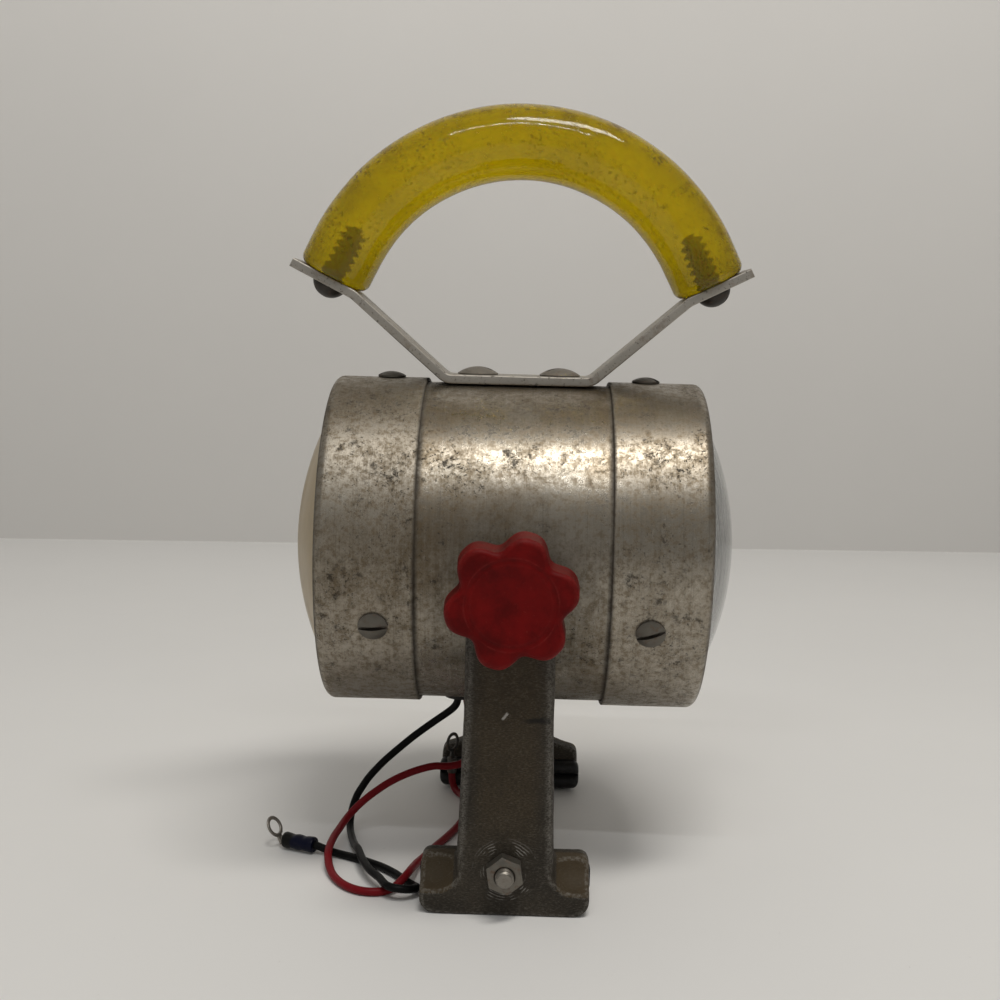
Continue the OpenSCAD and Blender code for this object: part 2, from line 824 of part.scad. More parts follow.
module seal() {
    difference() {
        translate([0, 0, rim_front])
            cylinder(r = rim_r, h = seal_t);
        translate([0, 0, rim_front - over])
            cylinder(r = cap_opening_r, h = seal_t + 2 * over);
    }
}

module left_seal() {
    color("#26241f")
        on_left_end()
            seal();
}

module right_seal() {
    color("#26241f")
        on_right_end()
            seal();
}

// Filament between two posts that stand on the bowl's neck
module filament() {
    post_r = 0.6;
    wire_r = 0.5;
    post_len = 12;
    for (s = [-1, 1])
        translate([0, s * terminal_y, bowl_back + bowl_wall])
            cylinder(r = post_r, h = post_len, $fn = 24);
    translate([0, 0, bowl_back + bowl_wall + post_len - wire_r])
        bar_y(wire_r, -terminal_y, terminal_y);
}

module left_filament() {
    color("lightsteelblue")
        on_left_end()
            filament();
}

module right_filament() {
    color("lightsteelblue")
        on_right_end()
            filament();
}

// Two screw terminals behind a lamp's neck
module lamp_terminals() {
    for (s = [-1, 1])
        translate([0, s * terminal_y, lamp_back]) {
            cylinder(r = terminal_post_r, h = terminal_post_len, $fn = 32);
            cylinder(r = terminal_lug_r, h = terminal_lug_h, $fn = 32);
        }
}

module left_lamp_terminals() {
    color("#b89a55")
        on_left_end()
            lamp_terminals();
}

module right_lamp_terminals() {
    color("#b89a55")
        on_right_end()
            lamp_terminals();
}

module cap_screws(side, slots) {
    turns = [0, cap_screw_turn, -cap_screw_turn];
    for (i = [0 : len(turns) - 1])
        translate([side * cap_screw_x, 0, drum_z])
            rotate([turns[i], 0, 0])
                translate([0, 0, cap_r])
                    slotted_screw(cap_screw_head_r, cap_screw_head_h, cap_screw_r, cap_screw_len, slots[i]);
}

module left_cap_screws() {
    color("#4c4a44")
        cap_screws(-1, left_slots);
}

module right_cap_screws() {
    color("#4c4a44")
        cap_screws(1, right_slots);
}

// Pivots

// Boss with a hollow back that sits on the round of the drum
module boss() {
    difference() {
        translate([0, 0, pivot_z])
            bar_y(boss_r, shell_in_r / 2, boss_face);
        translate([0, 0, drum_z])
            bar_x(drum_r, -drum_half, drum_half);
        translate([0, 0, pivot_z])
            bar_y(pivot_r + bolt_gap, 0, boss_face + over);
    }
}

module front_boss() {
    color("darkgray")
        mirror([0, 1, 0])
            boss();
}

module rear_boss() {
    color("darkgray")
        boss();
}

// Backing inside the shell, round on its outer side
module backing() {
    difference() {
        intersection() {
            translate([0, 0, pivot_z])
                bar_y(backing_r, backing_face, drum_r);
            translate([0, 0, drum_z])
                bar_x(shell_in_r, -drum_half, drum_half);
        }
        translate([0, 0, pivot_z])
            bar_y(pivot_r + bolt_gap, 0, drum_r);
    }
}

module front_backing() {
    color("darkgray")
        mirror([0, 1, 0])
            backing();
}

module rear_backing() {
    color("darkgray")
        backing();
}

module friction_washer() {
    translate([0, 0, pivot_z])
        difference() {
            bar_y(boss_r, boss_face, boss_face + friction_t);
            bar_y(pivot_r + bolt_gap, boss_face - over, boss_face + friction_t + over);
        }
}

module front_friction_washer() {
    color("#5a3d2b")
        mirror([0, 1, 0])
            friction_washer();
}

module rear_friction_washer() {
    color("#5a3d2b")
        friction_washer();
}

module clamp_stud() {
    color("lightgray")
        translate([0, 0, pivot_z]) {
            bar_y(pivot_r, -stud_tip, -backing_face);
            bar_y(stud_head_r, -backing_face, -backing_face + stud_head_t);
        }
}

module rear_pivot_bolt() {
    color("lightgray")
        translate([0, 0, pivot_z]) {
            bar_y(pivot_r, backing_face - pivot_nut_t - pivot_proud, pivot_seat);
            hex_y(pivot_flats, pivot_seat, pivot_seat + pivot_head_t);
        }
}

module rear_pivot_nut() {
    color("silver")
        translate([0, 0, pivot_z])
            difference() {
                hex_y(pivot_flats, backing_face - pivot_nut_t, backing_face);
                bar_y(pivot_r, backing_face - pivot_nut_t - over, backing_face + over);
            }
}

module rear_pivot_washer() {
    color("silver")
        translate([0, 0, pivot_z])
            difference() {
                bar_y(pivot_washer_r, arm_top_out + slide_gap, pivot_seat);
                bar_y(pivot_r + bolt_gap, arm_top_out - over, pivot_seat + over);
            }
}

// Handle

// Puts a piece on a tab, with Z square to it and the tab's upper face at zero
module on_tab(side) {
    mirror([side < 0 ? 1 : 0, 0, 0])
        translate([grip_foot[0], 0, grip_foot[1]])
            rotate([0, -tab_angle, 0])
                children();
}

module handle_strap() {
    color("#c9c7c2")
        difference() {
            translate([0, strap_w / 2, 0])
                rotate([90, 0, 0])
                    linear_extrude(strap_w)
                        polygon(bar_outline(strap_line, strap_t));
            for (x = [-strap_bolt_x, strap_bolt_x])
                translate([x, 0, strap_low - over])
                    cylinder(r = bolt_r + bolt_gap, h = strap_t + 2 * over);
            for (side = [-1, 1])
                on_tab(side)
                    translate([0, 0, -strap_t - over])
                        cylinder(r = bolt_r + bolt_gap, h = strap_t + 2 * over);
        }
}

// Truss-head bolts that hold the strap, with their slots across
module strap_bolts() {
    shank = strap_t + drum_wall + strap_bolt_in;
    color("#8f8d86")
        for (i = [0, 1])
            translate([(2 * i - 1) * strap_bolt_x, 0, strap_low + strap_t])
                slotted_screw(strap_head_r, strap_head_h, bolt_r, shank, strap_slots[i]);
}

// Nuts inside the shell, low enough to clear its curve
module strap_nuts() {
    half = tie_flats / cos(30) / 2;
    top = drum_z + sqrt(shell_in_r * shell_in_r - half * half);
    color("silver")
        for (x = [-strap_bolt_x, strap_bolt_x])
            translate([x, 0, top - strap_nut_t])
                difference() {
                    cylinder(r = half, h = strap_nut_t, $fn = 6);
                    translate([0, 0, -over])
                        cylinder(r = bolt_r, h = strap_nut_t + 2 * over);
                }
}

// Straight end of the grip, with its lower edge rounded and a fine step where it joins the bend
module grip_end() {
    end_r = grip_d / 2 - grip_step;
    rotate_extrude() {
        translate([0, grip_round])
            square([end_r, grip_leg + grip_lap - grip_round]);
        square([end_r - grip_round, grip_round]);
        translate([end_r - grip_round, grip_round])
            intersection() {
                circle(grip_round);
                translate([0, -grip_round])
                    square([grip_round, 2 * grip_round]);
            }
    }
}

// Moulded grip: one bend with a straight end at each side
module handle_grip() {
    color("gold", 0.85)
        difference() {
            union() {
                translate([0, 0, grip_bend_z])
                    rotate([90, 0, 0])
                        rotate([0, 0, tab_angle])
                            rotate_extrude(angle = 180 - 2 * tab_angle)
                                translate([grip_bend_r, 0])
                                    circle(d = grip_d);
                for (side = [-1, 1])
                    on_tab(side)
                        grip_end();
            }
            for (side = [-1, 1])
                on_tab(side)
                    translate([0, 0, -over])
                        cylinder(r = bolt_r + thread_gap, h = grip_screw_depth + over + thread_gap);
        }
}

// Round-head screws that come up through the tabs into the grip
module grip_screws() {
    color("#3b3a36")
        for (side = [-1, 1])
            on_tab(side)
                translate([0, 0, -strap_t])
                    mirror([0, 0, 1])
                        slotted_screw(
                            grip_head_r, grip_head_h, bolt_r, strap_t + grip_screw_depth, side * grip_slot
                        );
}

// Leads inside the drum

module lead_grommet() {
    color("#201f1d")
        difference() {
            union() {
                difference() {
                    translate([grommet_x, 0, grommet_face])
                        cylinder(r = grommet_flange_r, h = 2 * grommet_flange_t);
                    translate([0, 0, drum_z])
                        bar_x(drum_r, -drum_half, drum_half);
                }
                intersection() {
                    translate([grommet_x, 0, grommet_face])
                        cylinder(r = grommet_flange_r, h = 3 * grommet_flange_t + drum_wall);
                    translate([0, 0, drum_z])
                        bar_x(shell_in_r, -drum_half, drum_half);
                }
                translate([grommet_x, 0, grommet_face])
                    cylinder(r = grommet_neck_r, h = 2 * grommet_flange_t + drum_wall);
            }
            for (x = [black_x, red_x])
                translate([x, 0, grommet_face - over])
                    cylinder(r = lead_r + lead_gap, h = 4 * grommet_flange_t + drum_wall);
        }
}

module red_inner_lead() {
    color("firebrick")
        tube(red_inner_route, lead_r);
}

module black_inner_lead() {
    color("#1b1a19")
        tube(black_inner_route, lead_r);
}

// Two links that feed the right lamp from the left one's terminals
module lamp_jumpers() {
    color("#55504a")
        for (s = [-1, 1])
            translate([0, s * terminal_y, drum_z])
                bar_x(jumper_r, -lamp_back, lamp_back);
}

// Knob

module clamp_washer() {
    color("silver")
        translate([0, 0, pivot_z])
            difference() {
                bar_y(clamp_r, -clamp_face - clamp_t, -clamp_face);
                bar_y(pivot_r + bolt_gap, -clamp_face - clamp_t - over, -clamp_face + over);
            }
}

knob_points = 120;
function knob_hollow(a) = (1 - cos(knob_lobes * (a - knob_turn))) / 2;
function knob_edge(a) = knob_r + knob_lobe * (1 - 2 * pow(knob_hollow(a), knob_swell));
module knob_outline() {
    polygon([for (i = [0 : knob_points - 1])
        let(a = 360 * i / knob_points)
        knob_edge(a) * [cos(a), sin(a)]]);
}

// Seen from the front: the rim with its lobes, the dished face and the hub behind
module knob() {
    color("firebrick")
        translate([0, 0, pivot_z])
            difference() {
                union() {
                    translate([0, -knob_back - hub_h, 0])
                        rotate([90, 0, 0])
                            linear_extrude(knob_t)
                                knob_outline();
                    bar_y(hub_r, -knob_back - hub_h, -knob_back);
                }
                difference() {
                    bar_y(dish_r, -knob_face - over, -knob_face + dish_depth);
                    bar_y(dish_r - dish_groove, -knob_face - over, -knob_face + dish_depth + over);
                }
                bar_y(dish_r - dish_groove - dish_land, -knob_face - over, -knob_face + dish_depth / 2);
                bar_y(insert_r, -knob_back - insert_len, -knob_back + over);
            }
}

module knob_insert() {
    color("#b08d3f")
        translate([0, 0, pivot_z])
            difference() {
                bar_y(insert_r, -knob_back - insert_len, -knob_back);
                bar_y(pivot_r + insert_gap, -knob_back - insert_len - over, -knob_back + over);
            }
}

// Loose leads

module black_lead() {
    color("#1b1a19")
        tube(black_route, lead_r);
}

module red_lead() {
    color("firebrick")
        tube(red_route, lead_r);
}

// Flat tongue with a hole, standing in the XZ plane with its neck at the origin
module ring_tongue() {
    translate([0, ring_t / 2, 0])
        rotate([90, 0, 0])
            linear_extrude(ring_t)
                difference() {
                    union() {
                        translate([0, neck_len + ring_r])
                            circle(ring_r);
                        translate([-neck_half, 0])
                            square([2 * neck_half, neck_len + ring_r]);
                    }
                    translate([0, neck_len + ring_r])
                        circle(ring_hole_r);
                }
}

// Puts a piece at the end of the black lead, with X along the sleeve
module at_black_end() {
    translate(black_route[len(black_route) - 1])
        rotate([0, 0, black_terminal_turn])
            children();
}

module black_sleeve() {
    color("#1d2c6b")
        at_black_end()
            bar_x(sleeve_r, 0, sleeve_len);
}

module black_terminal() {
    color("#8c8a84")
        at_black_end()
            translate([sleeve_len, 0, 0]) {
                bar_x(stub_r, 0, stub_len);
                translate([stub_len, 0, -stub_drop])
                    rotate([0, 90 - black_tongue_lift, 0])
                        rotate([0, 0, 90])
                            ring_tongue();
            }
}

// Bare terminal that stands up beside the rear foot
module red_terminal() {
    color("#4a4843")
        translate(red_route[len(red_route) - 1])
            rotate([0, 0, red_terminal_turn]) {
                cylinder(r = barrel_r, h = barrel_len, $fn = 32);
                translate([0, 0, barrel_len])
                    ring_tongue();
            }
}

front_arm();
rear_arm();
front_jaw_pad();
rear_jaw_pad();
tie_bolt();
tie_bolt_nut();
drum_shell();
left_cap();
right_cap();
left_lens();
right_lens();
left_reflector();
right_reflector();
left_seal();
right_seal();
left_filament();
right_filament();
left_lamp_terminals();
right_lamp_terminals();
left_cap_screws();
right_cap_screws();
front_boss();
rear_boss();
front_backing();
rear_backing();
front_friction_washer();
rear_friction_washer();
clamp_stud();
rear_pivot_bolt();
rear_pivot_nut();
rear_pivot_washer();
handle_strap();
strap_bolts();
strap_nuts();
handle_grip();
grip_screws();
lead_grommet();
red_inner_lead();
black_inner_lead();
lamp_jumpers();
clamp_washer();
knob();
knob_insert();
black_lead();
black_sleeve();
black_terminal();
red_lead();
red_terminal();
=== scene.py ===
"""The looks of a tilting railroad lantern, built around its packed CAD frame.

Each operator makes one piece or one group of like pieces. Lengths are in metres, in the frame's own
axes: X along the drum, Y from the knob to the back, Z up from the table.
"""

import json
import math

import bmesh
import bpy
from mathutils import Matrix, Vector, noise

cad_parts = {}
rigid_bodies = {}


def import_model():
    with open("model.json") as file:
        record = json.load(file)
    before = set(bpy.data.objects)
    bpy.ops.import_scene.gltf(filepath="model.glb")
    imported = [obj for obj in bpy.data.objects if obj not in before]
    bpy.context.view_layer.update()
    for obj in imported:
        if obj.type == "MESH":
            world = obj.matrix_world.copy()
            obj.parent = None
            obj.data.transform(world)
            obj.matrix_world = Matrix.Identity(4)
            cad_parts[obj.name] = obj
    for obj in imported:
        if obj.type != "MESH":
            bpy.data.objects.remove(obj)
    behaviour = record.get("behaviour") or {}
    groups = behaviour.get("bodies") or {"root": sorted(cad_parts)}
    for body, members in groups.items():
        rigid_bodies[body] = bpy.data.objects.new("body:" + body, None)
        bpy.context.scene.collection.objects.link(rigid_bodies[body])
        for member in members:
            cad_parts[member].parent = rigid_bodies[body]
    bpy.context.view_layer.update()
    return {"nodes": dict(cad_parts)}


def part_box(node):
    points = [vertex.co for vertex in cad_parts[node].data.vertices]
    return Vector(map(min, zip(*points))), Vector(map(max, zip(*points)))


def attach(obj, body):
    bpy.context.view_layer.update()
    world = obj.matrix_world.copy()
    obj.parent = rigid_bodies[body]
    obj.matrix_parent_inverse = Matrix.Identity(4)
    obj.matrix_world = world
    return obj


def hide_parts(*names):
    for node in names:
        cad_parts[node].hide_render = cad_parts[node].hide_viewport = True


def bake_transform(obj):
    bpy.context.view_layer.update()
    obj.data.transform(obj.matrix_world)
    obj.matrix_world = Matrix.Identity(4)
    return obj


bl_info = {
    "name": "Railroad lantern",
    "version": (1, 0, 0),
    "blender": (4, 5, 0),
    "location": "View3D > Sidebar > Lantern",
    "description": "Builds the visible pieces of a tilting railroad lantern around its CAD frame",
    "category": "Object",
}

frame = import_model()
NODES = frame["nodes"]
MM = 0.001
X, Y, Z = 0, 1, 2


def low(node, axis):
    """Lowest place of a CAD node along an axis."""
    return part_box(node)[0][axis]


def high(node, axis):
    """Highest place of a CAD node along an axis."""
    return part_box(node)[1][axis]


def middle(node, axis):
    """Middle of a CAD node along an axis."""
    return (low(node, axis) + high(node, axis)) / 2


# Places that the frame gives
DRUM_Z = middle("drum_shell", Z)
DRUM_R = high("drum_shell", Y)
DRUM_HALF = high("drum_shell", X)
PIVOT_Z = middle("clamp_washer", Z)
CAP_START = low("right_cap", X)
CAP_END = high("right_cap", X)
CAP_R = high("right_cap", Y)
LENS_TIP = high("right_lens", X)
STRAP_LOW = low("handle_strap", Z)
ARM_FRONT = low("front_arm", Y)
TIE_Z = middle("tie_bolt_nut", Z)
GRIP_LOW = low("handle_grip", Z)
FOOT_IN = high("rear_jaw_pad", Y)

# Place of the bare chip in the front arm
CHIP_X = -1.2 * MM
CHIP_Z = 67.2 * MM

# Half width of an arm's face at the table, and how much it narrows for each length upwards
ARM_HALF = 16.5 * MM
ARM_TAPER = 0.0286

# Where the scoops in the feet begin: across, up and away from the jaw
SCOOP_X = 17.0 * MM
SCOOP_Z = 7.0 * MM
SCOOP_Y = 58.0 * MM


# Settings


def length_prop(name, description, millimetres):
    """A length, given in millimetres."""
    return bpy.props.FloatProperty(
        name=name, description=description, default=millimetres * MM, unit="LENGTH")


def colour_prop(name, description, *default):
    """A colour, given as red, green and blue."""
    return bpy.props.FloatVectorProperty(
        name=name, description=description, default=default, subtype="COLOR")


def angle_prop(name, description, degrees):
    """An angle, given in degrees."""
    return bpy.props.FloatProperty(
        name=name, description=description, default=math.radians(degrees), subtype="ANGLE")


class LanternDrum(bpy.types.PropertyGroup):
    """Sizes and colours of the drum, its caps and its lamps."""

    wall: length_prop("Wall", "Wall of the drum shell", 1.6)
    cap_wall: length_prop("Cap wall", "Wall of a cap's skirt", 1.4)
    cap_round: length_prop("Cap edge", "Rounding of a cap's outer edge", 3.0)
    opening: length_prop("Opening", "Radius of the opening in a cap", 53.0)
    dents: length_prop("Dents", "Depth of the shallow dents in the sheet", 0.12)
    lens_glass: length_prop("Lens glass", "Thickness of a lens", 3.2)
    flute: length_prop("Flute", "Width of a flute inside a lens", 5.0)
    metal: colour_prop("Metal", "Colour of the clean metal", 0.34, 0.305, 0.25)
    bright: colour_prop("Bright metal", "Colour of the brushed rings", 0.40, 0.37, 0.32)
    dull: colour_prop("Dull metal", "Colour of the dulled metal", 0.195, 0.168, 0.128)
    stain: colour_prop("Stain", "Colour of the brown stains", 0.16, 0.11, 0.055)
    # Also the colour of the painted shade round the drum's pivot.
    grime_and_shade: colour_prop("Grime", "Colour of the dirt", 0.030, 0.023, 0.015)
    left_glass: colour_prop("Left glass", "Tint of the left lens", 0.63, 0.50, 0.30)
    right_glass: colour_prop("Right glass", "Tint of the right lens", 0.76, 0.77, 0.76)


class LanternHandle(bpy.types.PropertyGroup):
    """Sizes and colours of the strap and the grip."""

    strap_width: length_prop("Strap width", "Width of the strap", 20.0)
    strap_thickness: length_prop("Strap thickness", "Thickness of the strap", 3.2)
    strap_bend: length_prop("Strap bend", "Radius of the strap's bends", 5.0)
    grip_radius: length_prop("Grip radius", "Radius of the grip's round section", 13.25)
    grip_edge: length_prop("Grip edge", "Rounding of the grip's ends", 3.6)
    strap_metal: colour_prop("Strap metal", "Colour of the strap", 0.37, 0.345, 0.305)
    amber: colour_prop("Amber", "Colour of the grip", 0.72, 0.54, 0.002)
    smoke: colour_prop("Smoke", "Colour of the grip where it is aged", 0.46, 0.33, 0.002)
    clearness: bpy.props.FloatProperty(
        name="Clearness", description="Share of the light that passes straight through the grip",
        default=0.70, subtype="FACTOR")


class LanternStand(bpy.types.PropertyGroup):
    """Sizes and colours of the arms, the feet and their fasteners."""

    grain: length_prop("Grain", "Size of the mesh that the castings are drawn with", 0.6)
    soften: bpy.props.IntProperty(
        name="Soften", description="Rounds of smoothing on the castings' edges", default=14, min=0, max=40)
    casting: colour_prop("Casting", "Colour of the castings", 0.036, 0.029, 0.020)
    # Also the colour of the painted highlight strips along the arms' edges.
    worn: colour_prop("Worn edge", "Colour of the castings' worn edges", 0.22, 0.205, 0.18)
    brown: colour_prop("Brown", "Colour of the brown hollows", 0.060, 0.041, 0.019)
    rubber: colour_prop("Rubber", "Colour of the jaw pads", 0.012, 0.012, 0.012)
    nut_flats: length_prop("Nut flats", "Width across the tie nut's flats", 11.1)
    bolt_radius: length_prop("Bolt radius", "Radius of the tie bolt", 3.1)
    thread: length_prop("Thread", "Pitch of the fine threads", 1.27)


class LanternKnob(bpy.types.PropertyGroup):
    """Sizes and colours of the hand knob."""

    radius: length_prop("Radius", "Mean radius of the knob", 19.4)
    lobe: length_prop("Lobe", "Height of the lobes over the mean radius", 2.2)
    swell: bpy.props.FloatProperty(
        name="Swell", description="How much broader the lobes are than the hollows", default=1.6)
    lobes: bpy.props.IntProperty(name="Lobes", description="Number of lobes", default=6, min=3, max=12)
    turn: angle_prop("Turn", "Turn of the first lobe", 14)
    red: colour_prop("Red", "Colour of the knob", 0.115, 0.002, 0.002)
    scuffed: colour_prop("Scuffed", "Colour of the knob's worn edges", 0.28, 0.035, 0.030)


class LanternLeads(bpy.types.PropertyGroup):
    """Sizes and colours of the battery leads."""

    diameter: length_prop("Diameter", "Diameter of a lead", 2.8)
    red: colour_prop("Red", "Colour of the red lead", 0.17, 0.006, 0.010)
    black: colour_prop("Black", "Colour of the black lead", 0.004, 0.004, 0.004)
    sleeve: colour_prop("Sleeve", "Colour of the crimped sleeve", 0.002, 0.003, 0.016)


class LanternStage(bpy.types.PropertyGroup):
    """The table, the wall, the lamps and the camera."""

    table: colour_prop("Table", "Colour of the table", 0.79, 0.78, 0.76)
    wall: colour_prop("Wall", "Colour of the wall", 0.84, 0.82, 0.79)
    wall_distance: length_prop("Wall distance", "Distance from the lantern to the wall", 680.0)
    wall_turn: angle_prop("Wall turn", "Turn of the wall, its left side nearer", 4.6)
    lens: bpy.props.FloatProperty(
        name="Lens", description="Focal length of the camera in millimetres", default=49.68)
    eye: bpy.props.FloatVectorProperty(
        name="Eye", description="Place of the camera", default=(0.00268, -0.50236, 0.19279),
        subtype="TRANSLATION")
    yaw: angle_prop("Yaw", "Turn of the camera to the right", -0.96)
    pitch: angle_prop("Pitch", "Tilt of the camera downwards", 7.36)
    roll: angle_prop("Roll", "Roll of the camera", 1.41)


# Shader maths


def math_step(operation, swapped=False):
    """A method of a wire that adds a Math node, with the wire as its first value or as its last."""
    def method(wire, *others):
        values = (*others, wire) if swapped else (wire, *others)
        return wire.paint.add("ShaderNodeMath", {"operation": operation}, dict(enumerate(values)))
    return method


class Wire:
    """A socket that can stand in arithmetic."""

    def __init__(self, paint, socket):
        self.paint = paint
        self.socket = socket

    __add__ = __radd__ = math_step("ADD")
    __sub__ = math_step("SUBTRACT")
    __rsub__ = math_step("SUBTRACT", swapped=True)
    __mul__ = __rmul__ = math_step("MULTIPLY")
    size = math_step("ABSOLUTE")
    most = math_step("MAXIMUM")
    sine = math_step("SINE")

    def between(self, start, end):
        """Goes smoothly from 0 at start to 1 at end, whichever of the two is larger."""
        return self.paint.add(
            "ShaderNodeMapRange", {"interpolation_type": "SMOOTHSTEP"},
            {"Value": self, "From Min": start, "From Max": end}, "Result")


class Paint:
    """A material whose nodes are added by expressions."""

    def __init__(self, name):
        self.material = bpy.data.materials.new(name)
        self.material.use_nodes = True
        self.tree = self.material.node_tree
        self.shader = self.tree.nodes["Principled BSDF"]
        self.place = self.add("ShaderNodeTexCoord", out="Object")

    def add(self, kind, settings=None, sockets=None, out=0):
        """Adds a node, sets it up, feeds its sockets and returns one of its outputs."""
        node = self.tree.nodes.new(kind)
        for key, value in (settings or {}).items():
            setattr(node, key, value)
        for key, value in (sockets or {}).items():
            self.feed(node.inputs[key], value)
        return Wire(self, node.outputs[out])

    def feed(self, socket, value):
        if isinstance(value, Wire):
            self.tree.links.new(value.socket, socket)
        elif hasattr(socket.default_value, "__len__") and len(value) < len(socket.default_value):
            socket.default_value = (*value, 1.0)
        else:
            socket.default_value = value

    def axis(self, number):
        """One coordinate of the place on the piece."""
        return self.add("ShaderNodeSeparateXYZ", sockets={0: self.place}, out=number)

    def noise(self, scale, detail=4.0, rough=0.55, stretch=(1.0, 1.0, 1.0), shift=0.0):
        place = self.add(
            "ShaderNodeMapping", sockets={"Vector": self.place, "Scale": stretch, "Location": (shift,) * 3})
        return self.add(
            "ShaderNodeTexNoise",
            sockets={"Vector": place, "Scale": scale, "Detail": detail, "Roughness": rough}, out="Fac")

    def vector_math(self, operation, *values, out=0):
        return self.add("ShaderNodeVectorMath", {"operation": operation}, dict(enumerate(values)), out)

    def lines(self, scale, width, bend):
        """Thin crooked lines, drawn where the cells of a bent pattern meet."""
        swirl = self.add(
            "ShaderNodeTexNoise", sockets={"Vector": self.place, "Scale": scale, "Detail": 3.0}, out="Color")
        place = self.vector_math("MULTIPLY_ADD", swirl, (bend,) * 3, self.place)
        away = self.add(
            "ShaderNodeTexVoronoi", {"feature": "DISTANCE_TO_EDGE"},
            {"Vector": place, "Scale": scale}, "Distance")
        return 1.0 - away.between(0.0, width)

    def mix(self, share, first, second):
        """A colour between two colours."""
        return self.add("ShaderNodeMix", {"data_type": "RGBA"}, {0: share, 6: first, 7: second}, 2)

    def shades(self, share, colour, darker, lighter):
        """A colour between two shades of itself."""
        return self.mix(share, shade(colour, darker), shade(colour, lighter))

    def layers(self, colour, *coats):
        """A colour under coats of others, each a share and a colour."""
        for share, coat in coats:
            colour = self.mix(share, colour, coat)
        return colour

    def distance(self, spot, stretch=(1.0, 1.0, 1.0)):
        """Distance on the piece from a spot, longer along the stretched axes."""
        away = self.vector_math("SUBTRACT", self.place, spot)
        return self.vector_math("LENGTH", self.vector_math("MULTIPLY", away, stretch), out="Value")

    def mark(self, name):
        """A number that the mesh carries at each point."""
        return self.add("ShaderNodeAttribute", {"attribute_name": name}, out="Fac")

    def bump(self, height, depth, strength):
        sockets = {"Height": height, "Distance": depth, "Strength": strength}
        return self.add("ShaderNodeBump", sockets=sockets, out="Normal")

    def done(self, **sockets):
        """Sets the shader's sockets, whose names are written with underscores, and returns the material."""
        for key, value in sockets.items():
            self.feed(self.shader.inputs[key.replace("_", " ").title().replace("Ior", "IOR")], value)
        return self.material


def shade(colour, share):
    """A colour made darker or lighter."""
    return tuple(min(1.0, c * share) for c in colour)


def weathered_metal(name, look, bare=0.0, edge_places=(), warm=0.5, smudges_and_shade=(), rough_of=0.18):
    """Dull sheet metal with brushed rings, specks, brown lines at places along X and dark patches round
    spots, partly painted shade.
    """
    paint = Paint(name)
    cloud = paint.noise(16, 4, 0.6)
    patch = paint.noise(70, 6, 0.7, shift=0.4)
    stain = paint.noise(230, 6, 0.78, shift=0.2)
    grit = paint.noise(1000, 4, 0.75)
    fine = paint.noise(3000, 2, 0.6)
    mottle = paint.noise(420, 5, 0.8, shift=0.7)
    brushed = paint.noise(26, 4, 0.7, stretch=(80.0, 1.0, 1.0))
    tone = (cloud * 0.5 + patch * 0.5).between(0.36 + bare, 0.62 + bare)
    specks = grit.between(0.56, 0.65) * (0.30 + patch.between(0.42, 0.60))
    stains = stain.between(0.54, 0.64) * patch.between(0.44, 0.60)
    hair = paint.lines(260, 0.030, 0.006) * paint.noise(95, 3, 0.6, shift=0.6).between(0.54, 0.60)
    dirt_and_shade = (specks * 0.85).most(stains).most(hair * 0.40)
    # Dark patches round spots: stains, and soiling with painted shade round the drum's pivot.
    for spot, clear, share in smudges_and_shade:
        near = 1.0 - paint.distance(spot).between(clear * 0.5, clear)
        dirt_and_shade = dirt_and_shade.most(near * (stain.between(0.35, 0.65) * 0.6 + 0.4) * share)
    along = paint.axis(X).size()
    for place, width in edge_places:
        near = (along - place).size()
        dirt_and_shade = dirt_and_shade.most((1.0 - near.between(0.0, width)) * (stain * 1.1 + 0.25))
    colour = paint.mix(tone, look.metal, look.dull)
    colour = paint.layers(
        colour,
        (mottle.between(0.46, 0.62) * 0.55, shade(look.stain, 0.8)),
        (mottle.between(0.46, 0.34) * 0.45, look.bright),
        (brushed.between(0.50, 0.70) * 0.22, look.bright),
        (brushed.between(0.48, 0.30) * 0.22, look.grime_and_shade),
        (cloud.between(0.42, 0.62) * stain * warm, look.stain),
        (dirt_and_shade * 0.88, look.grime_and_shade))
    rough = rough_of + tone * 0.12 + fine * 0.08 + mottle.between(0.40, 0.60) * 0.16 + dirt_and_shade * 0.30
    height = brushed * 0.15 + fine * 0.35 + grit * 0.50 - mottle * 0.4 - dirt_and_shade * 0.7
    return paint.done(
        base_color=colour, roughness=rough, metallic=0.96 - dirt_and_shade * 0.7,
        normal=paint.bump(height, 0.00007, 0.7))


def pitted_strap(name, look):
    """Pale bar metal with pits, scratches and brown stains."""
    paint = Paint(name)
    cloud = paint.noise(45, 5, 0.6)
    pits = paint.noise(700, 4, 0.7).between(0.56, 0.66)
    scratch = paint.noise(120, 3, 0.6, stretch=(1.0, 30.0, 1.0))
    stain = paint.noise(120, 6, 0.75, shift=0.5).between(0.50, 0.66)
    colour = paint.shades(cloud, look.strap_metal, 0.72, 1.25)
    colour = paint.layers(
        colour,
        (stain * 0.55, (0.15, 0.105, 0.07)),
        (pits * 0.8, (0.07, 0.06, 0.05)))
    rough = 0.42 + cloud * 0.14 + pits * 0.2
    height = scratch * 0.3 - pits * 0.8
    return paint.done(
        base_color=colour, roughness=rough, metallic=0.80 - pits * 0.5 - stain * 0.3,
        normal=paint.bump(height, 0.00009, 0.7))


def plain_steel(name, colour_of, rough_of=0.36, rust_of=0.3):
    """Plated steel with stains and a little rust."""
    paint = Paint(name)
    cloud = paint.noise(260, 5, 0.65)
    fine = paint.noise(1800, 3, 0.6)
    rust = paint.noise(420, 5, 0.7, shift=0.3).between(0.52, 0.68) * rust_of
    colour = paint.shades(cloud, colour_of, 0.62, 1.25)
    colour = paint.mix(rust, colour, (0.115, 0.058, 0.028))
    rough = rough_of + cloud * 0.18 + rust * 0.3
    return paint.done(
        base_color=colour, roughness=rough, metallic=0.95 - rust * 0.8,
        normal=paint.bump(fine * 0.5 + cloud * 0.5, 0.00005, 0.5))


